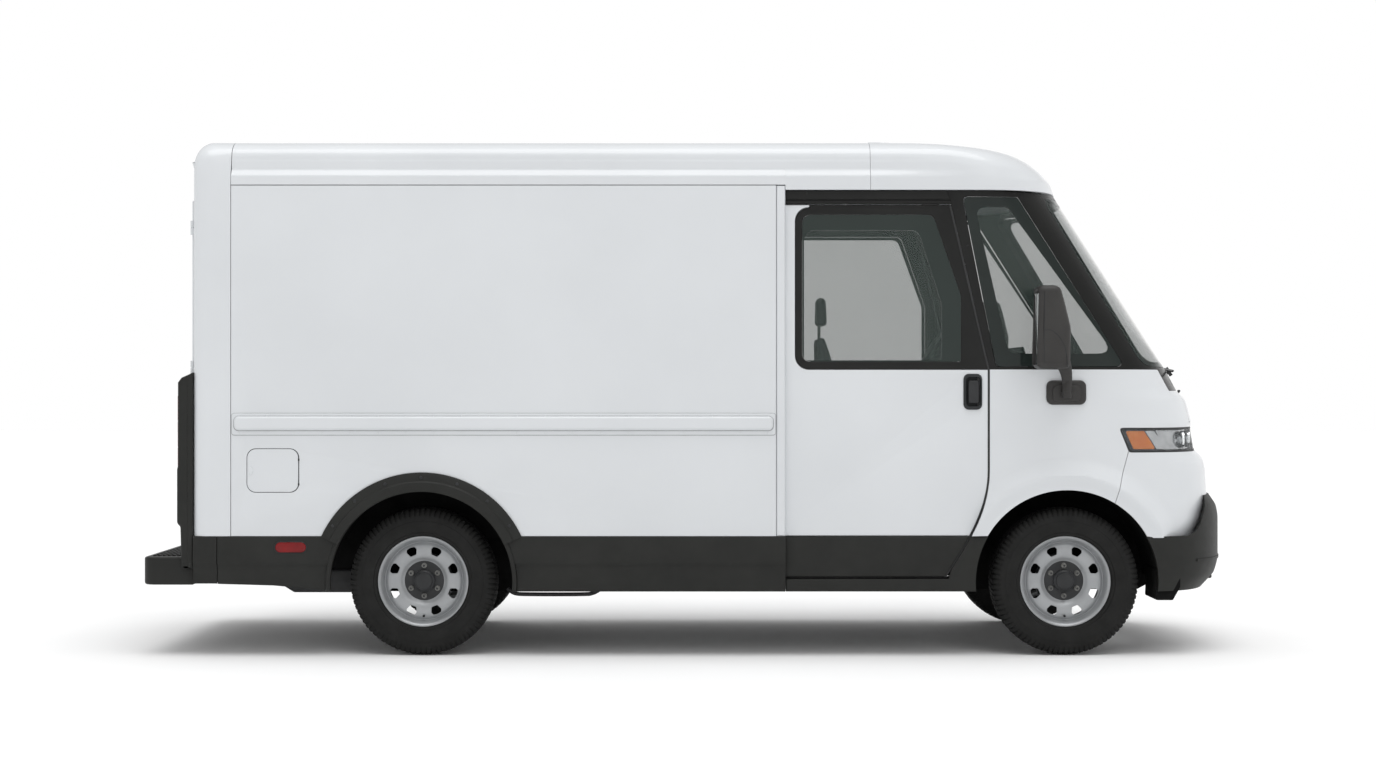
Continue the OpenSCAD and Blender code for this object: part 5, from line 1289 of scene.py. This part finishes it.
# ---------- mirrors ----------
def mirrors():
    pin_x, pin_y = FRONT_AXLE - 0.010, CAB_HALF + 0.062
    for side, sign in SIDES.items():
        base = [plate([rectangle((pin_x - 0.102, 1.358), (pin_x + 0.112, 1.490), 0.034)], CAB_HALF,
                      CAB_HALF + 0.022,
                      0, 0.012, steps=5),
                plate([rectangle((pin_x - 0.072, 1.376), (pin_x + 0.082, 1.462), 0.024)], CAB_HALF + 0.018,
                      CAB_HALF + 0.034, 0, 0.008, steps=4),
                box((pin_x - 0.030, CAB_HALF + 0.02, 1.400), (pin_x + 0.040, CAB_HALF + 0.050, 1.430), 0.006),
                revolve([(0, 1.394), (0.023, 1.394), (0.026, 1.397), (0.026, 1.430), (0, 1.430)],
                        (pin_x, pin_y, 0), 32, "z")]
        make(f"mirror_base_{side}", join(base), MIRROR, "truck", sign,
             replaces=["mirror_bases"])
        body = f"mirror_{side}"
        rows = []
        for x, y, z, wide, deep in ((0.000, 0.000, 1.478, 0.052, 0.050), (-0.002, 0.006, 1.506, 0.058, 0.050),
                                    (-0.012, 0.030, 1.540, 0.068, 0.050), (-0.030, 0.066, 1.578, 0.084,
                                            0.056),
                                    (-0.050, 0.104, 1.606, 0.100, 0.066), (-0.062, 0.150, 1.640, 0.100,
                                            0.070)):
            tip = rectangle((-wide / 2, -deep / 2), (wide / 2, deep / 2), 0.018)
            rows.append([(pin_x + x + u, pin_y + y + v * 0.8, z - v * 0.6) for u, v in tip])
        arm = capped(rows)
        collar = revolve([(0.0095, 1.431), (0.026, 1.431), (0.026, 1.486), (0.022, 1.494), (0.0095, 1.494),
                          (0.0095, 1.431)], (pin_x, pin_y, 0), 32, "z")
        make(f"{body}_arm", join([arm, collar]), MIRROR, body, sign)
        x0 = pin_x - 0.020
        z0 = 1.548
        head_loop = rounded([(x0 - 0.184, z0 + 0.030), (x0 - 0.160, z0), (x0 - 0.010, z0 + 0.004),
                             (x0, z0 + 0.030),
                             (x0 + 0.004, z0 + 0.215), (x0 - 0.034, z0 + 0.372), (x0 - 0.052, z0 + 0.430),
                             (x0 - 0.080, z0 + 0.443), (x0 - 0.150, z0 + 0.443), (x0 - 0.172, z0 + 0.428)],
                            [0.03, 0.03, 0.03, 0.04, 0.12, 0.1, 0.03, 0.03, 0.03, 0.04], 5)
        head = make(f"{body}_head", plate([head_loop], pin_y + 0.060, pin_y + 0.269, 0.034, 0.034, steps=7),
                    MIRROR,
                    body, sign, replaces=[body])
        a, b = sorted((sign * (pin_y + 0.078), sign * (pin_y + 0.252)))
        carve(head, [prism(rectangle((x0 - 0.200, z0 + 0.024), (x0 - 0.158, z0 + 0.404)), a, b)])
        bead = tube([(x0 - 0.141, pin_y + 0.2684, z0 + 0.036), (x0 - 0.141, pin_y + 0.2684, z0 + 0.406)],
                    0.0015, 6)
        make(f"{body}_bezel_seam", bead, CAB, body, sign)
        cover_curve = [(x0 - 0.142, z0 + 0.208), (x0 - 0.100, z0 + 0.204), (x0 - 0.062, z0 + 0.170),
                       (x0 - 0.034, z0 + 0.120), (x0 - 0.022, z0 + 0.060), (x0 - 0.018, z0 + 0.010)]
        path = [(x, pin_y + 0.2684, z) for x, z in curve_2d(cover_curve)]
        make(f"{body}_cover_seam", tube(path, 0.0016, 6), CAB, body, sign)
        glass = plate([rectangle((min(a, b), z0 + 0.025), (max(a, b), z0 + 0.403), 0.02)], x0 - 0.168,
                      x0 - 0.160,
                      0.002, 0, "yz")
        points = [(x, abs(y), z) for x, y, z in glass[0]]
        make(f"{body}_glass", (points, glass[1]), SILVERED, body, sign)


def curve_2d(points, n=30):
    return [(p[0], p[1]) for p in curve([(x, z, 0) for x, z in points], n)]


# ---------- wheels ----------
RIM_R = 0.2285
BEAD = TYRE_HALF - 0.036


def tyre_profile():
    """(radius, across, tread share) from the left bead over the tread to the right bead."""
    side = [(RIM_R + 0.004, -BEAD, 0), (RIM_R + 0.016, -BEAD - 0.004, 0),
            (RIM_R + 0.020, -TYRE_HALF + 0.016, 0),
            (RIM_R + 0.026, -TYRE_HALF + 0.010, 0), (RIM_R + 0.036, -TYRE_HALF + 0.009, 0),
            (RIM_R + 0.040, -TYRE_HALF + 0.004, 0), (RIM_R + 0.052, -TYRE_HALF + 0.002, 0),
            (RIM_R + 0.075, -TYRE_HALF, 0), (RIM_R + 0.098, -TYRE_HALF + 0.0008, 0),
            (RIM_R + 0.100, -TYRE_HALF + 0.0024, 0), (RIM_R + 0.112, -TYRE_HALF + 0.0034, 0),
            (TYRE_R - 0.044, -TYRE_HALF + 0.0062, 0.0), (TYRE_R - 0.040, -TYRE_HALF + 0.0072, 0.35),
            (TYRE_R - 0.026, -TYRE_HALF + 0.0135, 0.5), (TYRE_R - 0.014, -TYRE_HALF + 0.0225, 0.9),
            (TYRE_R - 0.0055, -TYRE_HALF + 0.033, 1.0), (TYRE_R - 0.003, -0.074, 1.0)]
    groove = 0.009
    tread = []
    for y in (-0.052, 0.0, 0.052):
        tread += [(TYRE_R - 0.0012, y - 0.0052, 0.3), (TYRE_R - groove, y - 0.0040, 0),
                  (TYRE_R - groove, y + 0.0040, 0), (TYRE_R - 0.0012, y + 0.0052, 0.3)]
        if y < 0.05:
            tread.append((TYRE_R - 0.0004, y + 0.026, 0.55))
    return side + tread + [(r, -y, t) for r, y, t in reversed(side)]


def tyre(centre, blocks=84):
    """A tyre whose tread and shoulders are cut by cross grooves."""
    steps = (0.0, 0.08, 0.16, 0.58, 0.66)
    rows = []
    for r, y, share in tyre_profile():
        ring_points = []
        for k in range(blocks):
            for j, s in enumerate(steps):
                a = 2 * math.pi * (k + s + (0.5 if y > 0.03 else 0.0) + 1.2 * max(0, abs(y) - 0.03)) / blocks
                depth = 0.0085 * share if j in (0, 1) else 0.0
                shoulder = 0.6 if abs(y) > 0.08 else 0.0
                rad = r - depth * (1 - 0.5 * shoulder)
                across = y - math.copysign(depth * shoulder, y)
                ring_points.append((centre[0] + rad * math.cos(a), centre[1] + across,
                                    centre[2] + rad * math.sin(a)))
        rows.append(ring_points)
    return sheet(rows, wrap=True)


def d_window(angle):
    """Outline of one wheel window, in the wheel's plane, narrow end out."""
    shape = rounded([(0.146, -0.018), (0.146, 0.018), (0.176, 0.031), (0.192, 0.024), (0.1965, 0.0),
                     (0.192, -0.024),
                     (0.176, -0.031)], 0.011, 5)
    c, s = math.cos(angle), math.sin(angle)
    return [(u * c - v * s, u * s + v * c) for u, v in shape]


def wheels():
    for name, (front, sign) in WHEELS.items():
        x = FRONT_AXLE if front > 0 else REAR_AXLE
        body = f"wheel_{name}"
        centre = (x, TRACK_HALF, WHEEL_Z)
        make(f"{body}_tyre", tyre(centre), RUBBER, body, sign, angle=30,
             replaces=[f"tyre_{name}"])
        w = BEAD
        barrel = [(RIM_R + 0.016, w + 0.010), (RIM_R + 0.019, w + 0.006), (RIM_R + 0.016, w + 0.001),
                  (RIM_R + 0.002, w - 0.002), (RIM_R, w - 0.028), (RIM_R - 0.020, w - 0.056),
                  (RIM_R - 0.020, -w + 0.056), (RIM_R, -w + 0.028), (RIM_R + 0.002, -w + 0.002),
                  (RIM_R + 0.016, -w - 0.004), (RIM_R + 0.016, -w - 0.009), (RIM_R - 0.004, -w - 0.004),
                  (RIM_R - 0.008, -w + 0.028), (RIM_R - 0.028, -w + 0.058), (RIM_R - 0.028, w - 0.058),
                  (RIM_R - 0.009, w - 0.030), (RIM_R - 0.006, w - 0.004), (RIM_R + 0.004, w + 0.006),
                  (RIM_R + 0.010, w + 0.0105), (RIM_R + 0.016, w + 0.010)]
        make(f"{body}_rim", revolve(barrel, centre, 144), SILVER, body, sign, angle=40,
             replaces=[f"rim_{name}"])
        face = [(0.066, 0.034), (0.104, 0.034), (0.112, 0.036), (0.122, 0.046), (0.134, 0.0535),
                (0.150, 0.0580),
                (0.172, 0.0590), (0.192, 0.0565), (0.203, 0.051), (0.210, 0.046), (0.2145, 0.047), (0.218,
                        0.054),
                (0.2215, 0.070), (0.2235, 0.070), (0.2235, 0.050), (0.219, 0.041), (0.210, 0.040), (0.202,
                        0.045),
                (0.191, 0.0505), (0.172, 0.053), (0.150, 0.052), (0.136, 0.0475), (0.124, 0.040), (0.113,
                        0.030),
                (0.104, 0.028), (0.066, 0.028), (0.066, 0.034)]
        disc = make(f"{body}_disc", revolve(face, centre, 192), SILVER, body, sign, angle=40)
        tools = []
        for k in range(8):
            loop = [(centre[0] + u, centre[2] + v) for u, v in d_window(math.radians(22.5 + 45 * k))]
            tools.append(prism(loop, *sorted((sign * (centre[1] - 0.02), sign * (centre[1] + 0.09)))))
        carve(disc, [join(tools)], angle=38)
        lips = []
        for k in range(8):
            path = [(centre[0] + u, centre[1] + 0.0560, centre[2] + v)
                    for u, v in d_window(math.radians(22.5 + 45 * k))]
            lips.append(tube([*path, path[0], path[1]], 0.0022, 6))
        make(f"{body}_window_lips", join(lips), SILVER, body, sign)
        cover = [(0, 0.078), (0.040, 0.078), (0.045, 0.076), (0.048, 0.070), (0.056, 0.066), (0.060, 0.062),
                 (0.061, 0.040), (0.066, 0.038), (0.104, 0.0375), (0.107, 0.036), (0.108, 0.033), (0.108,
                         0.012),
                 (0.070, 0.010), (0.070, -0.014), (0.150, -0.014), (0.150, -0.036), (0.044, -0.036),
                 (0.044, -0.044), (0, -0.044)]
        nuts, studs = [], []
        for k in range(6):
            a = math.radians(30 + 60 * k)
            at = (centre[0] + 0.0825 * math.cos(a), centre[1], centre[2] + 0.0825 * math.sin(a))
            nuts.append(revolve([(0.0, 0.0585), (0.006, 0.0585), (0.0118, 0.056), (0.0124, 0.054),
                                 (0.0124, 0.040),
                                 (0.0150, 0.0395), (0.0150, 0.037), (0, 0.037)], at, 6 if k < 0 else 12))
            studs.append(revolve([(0, 0.0605), (0.0052, 0.0605), (0.0062, 0.0595), (0.0062, 0.056),
                                  (0, 0.056)], at, 12))
        make(f"{body}_hub", revolve(cover, centre, 96), HUB, body, sign, angle=35,
             replaces=[f"hub_{name}"])
        make(f"{body}_nuts", join(nuts), NUT, body, sign, angle=20)
        make(f"{body}_studs", join(studs), HUB, body, sign)
        valve_a = math.radians(-90)
        u, v = 0.196 * math.cos(valve_a), 0.196 * math.sin(valve_a)
        stem = tube(curve([(centre[0] + u, centre[1] + 0.018, centre[2] + v),
                           (centre[0] + u * 0.98, centre[1] + 0.040, centre[2] + v * 0.98),
                           (centre[0] + u * 0.97, centre[1] + 0.074, centre[2] + v * 0.97)], 8), 0.0062, 10)
        make(f"{body}_valve", stem, RUBBER, body, sign)


# ---------- underneath ----------
def underbody():
    """Inner walls of the wheel houses, pipes between the axles, an undertray and dams ahead of the arches."""
    walls = []
    for s in (1, -1):
        for x, y, reach in ((REAR_AXLE, 0.60, 0.60), (FRONT_AXLE, 0.46, 0.56)):
            a, b = sorted((s * y, s * (y + 0.006)))
            walls.append(plate([rounded([(x - reach, 0.36), (x - reach + 0.08, 0.318),
                                         (x + reach - 0.08, 0.318),
                                         (x + reach, 0.36), (x + reach, 0.74), (x - reach,
                                                 0.74)], 0.02)], a, b))
        a, b = sorted((s * 0.66, s * 0.972))
        walls.append(plate([rounded([(2.505, 0.300), (2.600, 0.300), (2.640, 0.372), (2.640, 0.47),
                                     (2.512, 0.47)],
                                    0.012)], a, b, 0.006, 0.006))
        a, b = sorted((s * (HALF - 0.045), s * (HALF - 0.022)))
        x = REAR_AXLE - 1.100
        walls.append(box((x - 0.03, a, 0.400), (x + 0.03, b, CLAD_TOP)))
    make("wheel_house_walls", join(walls), LINER, "truck")
    parts = []
    for y in (-0.735, 0.735):
        parts.append(tube(curve([(-1.02, y, 0.345), (-0.98, y, 0.318), (-0.90, y, 0.312), (-0.62, y, 0.312),
                                 (-0.55, y, 0.318), (-0.50, y, 0.345)], 20), 0.011, 10))
    make("brake_pipes", join(parts), CHASSIS, "truck")
    cover = [(-2.34, 0.392), (-2.28, 0.352), (-2.215, 0.312), (-1.86, 0.312), (-1.80, 0.36), (-1.80, 0.44),
             (-2.34, 0.44)]
    make("rear_undertray", plate([rounded(cover, 0.02)], -0.62, 0.62, 0.012, 0.012), CHASSIS, "truck")


# ---------- seat ----------
def puffed(name, mesh, swell, cap=0.026):
    """Swells a cushion's shell with a cloth simulation, then smooths it."""
    piece = link(name, mesh_data(name, *mesh, WELD))
    grid = piece.modifiers.new("grid", "REMESH")
    grid.mode = "VOXEL"
    grid.voxel_size = FULL_VOXEL
    settle(piece, 60)
    before = np.array([v.co for v in piece.data.vertices])
    cloth = piece.modifiers.new("cloth", "CLOTH")
    cloth.settings.quality = 4
    cloth.settings.mass = 0.3
    cloth.settings.use_pressure = True
    cloth.settings.uniform_pressure_force = swell
    cloth.settings.effector_weights.gravity = 0
    for frame_number in range(1, CLOTH_FRAMES + 1):
        bpy.context.scene.frame_set(frame_number)
    graph = bpy.context.evaluated_depsgraph_get()
    swollen = piece.evaluated_get(graph).to_mesh()
    after = np.array([v.co for v in swollen.vertices])
    piece.evaluated_get(graph).to_mesh_clear()
    piece.modifiers.clear()
    moved = after - before
    length = np.linalg.norm(moved, axis=1)[:, None]
    after = before + moved * np.minimum(1, cap / np.maximum(length, 1e-9))
    piece.data.vertices.foreach_set("co", after.ravel())
    bpy.context.scene.frame_set(1)
    finer = piece.modifiers.new("finer", "SUBSURF")
    finer.levels = 1
    finer.render_levels = 1
    settle(piece, 70)
    result = mesh_parts(piece)
    bpy.data.objects.remove(piece)
    return result


def seat():
    """Base, cushion with bolsters, backrest and headrest. The base and the padded cushion ride on the seat's
    body; the padded backrest and headrest ride on the seat back's.
    """
    cushion_lo, cushion_hi = FRONT_AXLE - 1.160, FRONT_AXLE - 0.680
    w = 0.25
    pads = []
    for y0, y1, rise in ((-w + 0.012, -0.165, 0.0), (-0.155, 0.155, -0.012), (0.165, w - 0.012, 0.0)):
        pads.append((plate([rectangle((cushion_lo + 0.015, 1.075), (cushion_hi - 0.015, 1.166 + rise),
                                      0.035)],
                           SEAT_Y + y0, SEAT_Y + y1, 0.018, 0.018), f"seat_pad_{len(pads)}"))
    for k, (mesh, name) in enumerate(pads):
        pad = make(name, puffed(name, mesh, 4.0, 0.010), FABRIC, "seat", angle=70,
                   replaces=["driver_seat"] if k == 1 else ())
    base = [plate([rectangle((FRONT_AXLE - 1.12, 0.694), (FRONT_AXLE - 0.75, 1.070), 0.02)], SEAT_Y - 0.185,
                  SEAT_Y + 0.185, 0.01, 0.01)]
    for y in (SEAT_Y - 0.262, SEAT_Y + 0.252):
        base.append(plate([rectangle((FRONT_AXLE - 1.20, 1.070), (FRONT_AXLE - 1.08, 1.170), 0.02)], y,
                          y + 0.010,
                          0.002, 0.002))
    make("seat_base", join(base), CAB, "seat")
    sx = FRONT_AXLE - 1.220
    back_profile = [(sx + 0.034, 1.135), (sx + 0.060, 1.190), (sx + 0.090, 1.215), (sx + 0.026, 1.600),
                    (sx - 0.022, 1.745), (sx - 0.060, 1.738), (sx - 0.052, 1.500), (sx + 0.006, 1.135)]
    rests = []
    for y0, y1 in ((-0.226, -0.150), (-0.142, 0.142), (0.150, 0.226)):
        shape = rounded([(x - (0.014 if y0 == -0.142 and z > 1.15 and x > sx - 0.03 else 0), z) for x,
                         z in back_profile], 0.02)
        rests.append(plate([shape], SEAT_Y + y0, SEAT_Y + y1, 0.016, 0.016))
    for k, mesh in enumerate(rests):
        name = f"backrest_pad_{k}"
        pad = make(name, puffed(name, mesh, 4.0, 0.008), FABRIC, "seat_back", angle=70,
                   replaces=["seat_back"] if k == 1 else ())
    head = plate([rounded([(sx - 0.056, 1.812), (sx - 0.002, 1.812), (sx - 0.012, 1.982),
                           (sx - 0.052, 1.986)], 0.02)],
                 SEAT_Y - 0.120, SEAT_Y + 0.120, 0.022, 0.022)
    rest = make("headrest", puffed("headrest", head, 4.0, 0.006), FABRIC, "seat_back",
                angle=70)
    posts = [tube([(sx - 0.040, SEAT_Y + y, 1.735), (sx - 0.040, SEAT_Y + y, 1.815)], 0.006,
                  12) for y in (-0.06, 0.06)]
    posts.append(tube([(sx + 0.052, SEAT_Y - 0.262, 1.138), (sx + 0.052, SEAT_Y + 0.262, 1.138)], 0.008, 12))
    make("headrest_posts", join(posts), NUT, "seat_back")


# ---------- CAD nodes that stay, with their finishes ----------
KEPT = {
    "chassis_frame": CHASSIS, "battery_pack": CASE, "drive_unit": ALLOY, "suspension": CHASSIS,
    "floor": FLOORING, "wheel_liners": LINER, "inner_walls": LINING, "dashboard": CAB,
    "charge_inlet": CAB, "knuckle_left": IRON, "knuckle_right": IRON, "rear_latch": HUB,
    "charge_flap": WHITE, "wiper_left": HUB, "wiper_right": HUB, "steering_wheel": CAB,
    "brake_pedal": HUB, "accelerator_pedal": HUB}


def dress_frame():
    for node, finish in KEPT.items():
        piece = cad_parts[node]
        piece.data.materials.clear()
        piece.data.materials.append(finish)


# ---------- studio ----------
def studio():
    ground = bpy.data.meshes.new("studio_floor")
    reach = 60.0
    ground.from_pydata([(-reach, -reach, 0), (reach, -reach, 0), (reach, reach, 0), (-reach, reach, 0)], [],
                       [(0, 1, 2, 3)])
    ground.materials.append(GROUND)
    floor = bpy.data.objects.new("studio_floor", ground)
    bpy.context.scene.collection.objects.link(floor)
    world = bpy.data.worlds.new("studio")
    bpy.context.scene.world = world
    world.use_nodes = True
    nodes, links = world.node_tree.nodes, world.node_tree.links
    place = nodes.new("ShaderNodeTexCoord")
    split = nodes.new("ShaderNodeSeparateXYZ")
    sky = nodes.new("ShaderNodeValToRGB")
    for position, value in ((0.0, 1.0), (0.20, 1.0), (0.34, 0.62), (0.70, 0.62), (0.86, 1.0)):
        stop = sky.color_ramp.elements[0] if position == 0.0 else sky.color_ramp.elements.new(position)
        stop.color = (value, value, value, 1)
    links.new(place.outputs["Generated"], split.inputs["Vector"])
    links.new(split.outputs["Z"], sky.inputs["Fac"])
    links.new(sky.outputs["Color"], nodes["Background"].inputs["Color"])
    for name, tilt, strength, spread in (("overhead", (12, 4), 1.25, 45), ("key", (52, 28), 0.14, 30)):
        lamp = bpy.data.lights.new(name, "SUN")
        lamp.energy = strength
        lamp.angle = math.radians(spread)
        holder = bpy.data.objects.new(name, lamp)
        holder.rotation_euler = (math.radians(tilt[0]), math.radians(tilt[1]), 0)
        bpy.context.scene.collection.objects.link(holder)
    view = bpy.context.scene.view_settings
    view.view_transform = "Standard"
    view.look = "None"


def camera():
    data = bpy.data.cameras.new("view")
    data.lens = 63.0
    data.sensor_width = 36.0
    holder = bpy.data.objects.new("view", data)
    holder.location = (-0.025, -14.0, 1.47)
    holder.rotation_euler = (math.radians(90), 0, 0)
    bpy.context.scene.collection.objects.link(holder)
    bpy.context.scene.camera = holder


camera()
studio()
dress_frame()
cargo_roof()
cab_roof()
cargo_sides()
rear_corner()
rear_doors()
cab_body()
cowl()
greenhouse()
track_headers()
front_lamps()
front_bumper()
cab_doors()
lower_cladding()
rear_step()
corner_guards()
clearance_lamps()
mirrors()
wheels()
underbody()
seat()
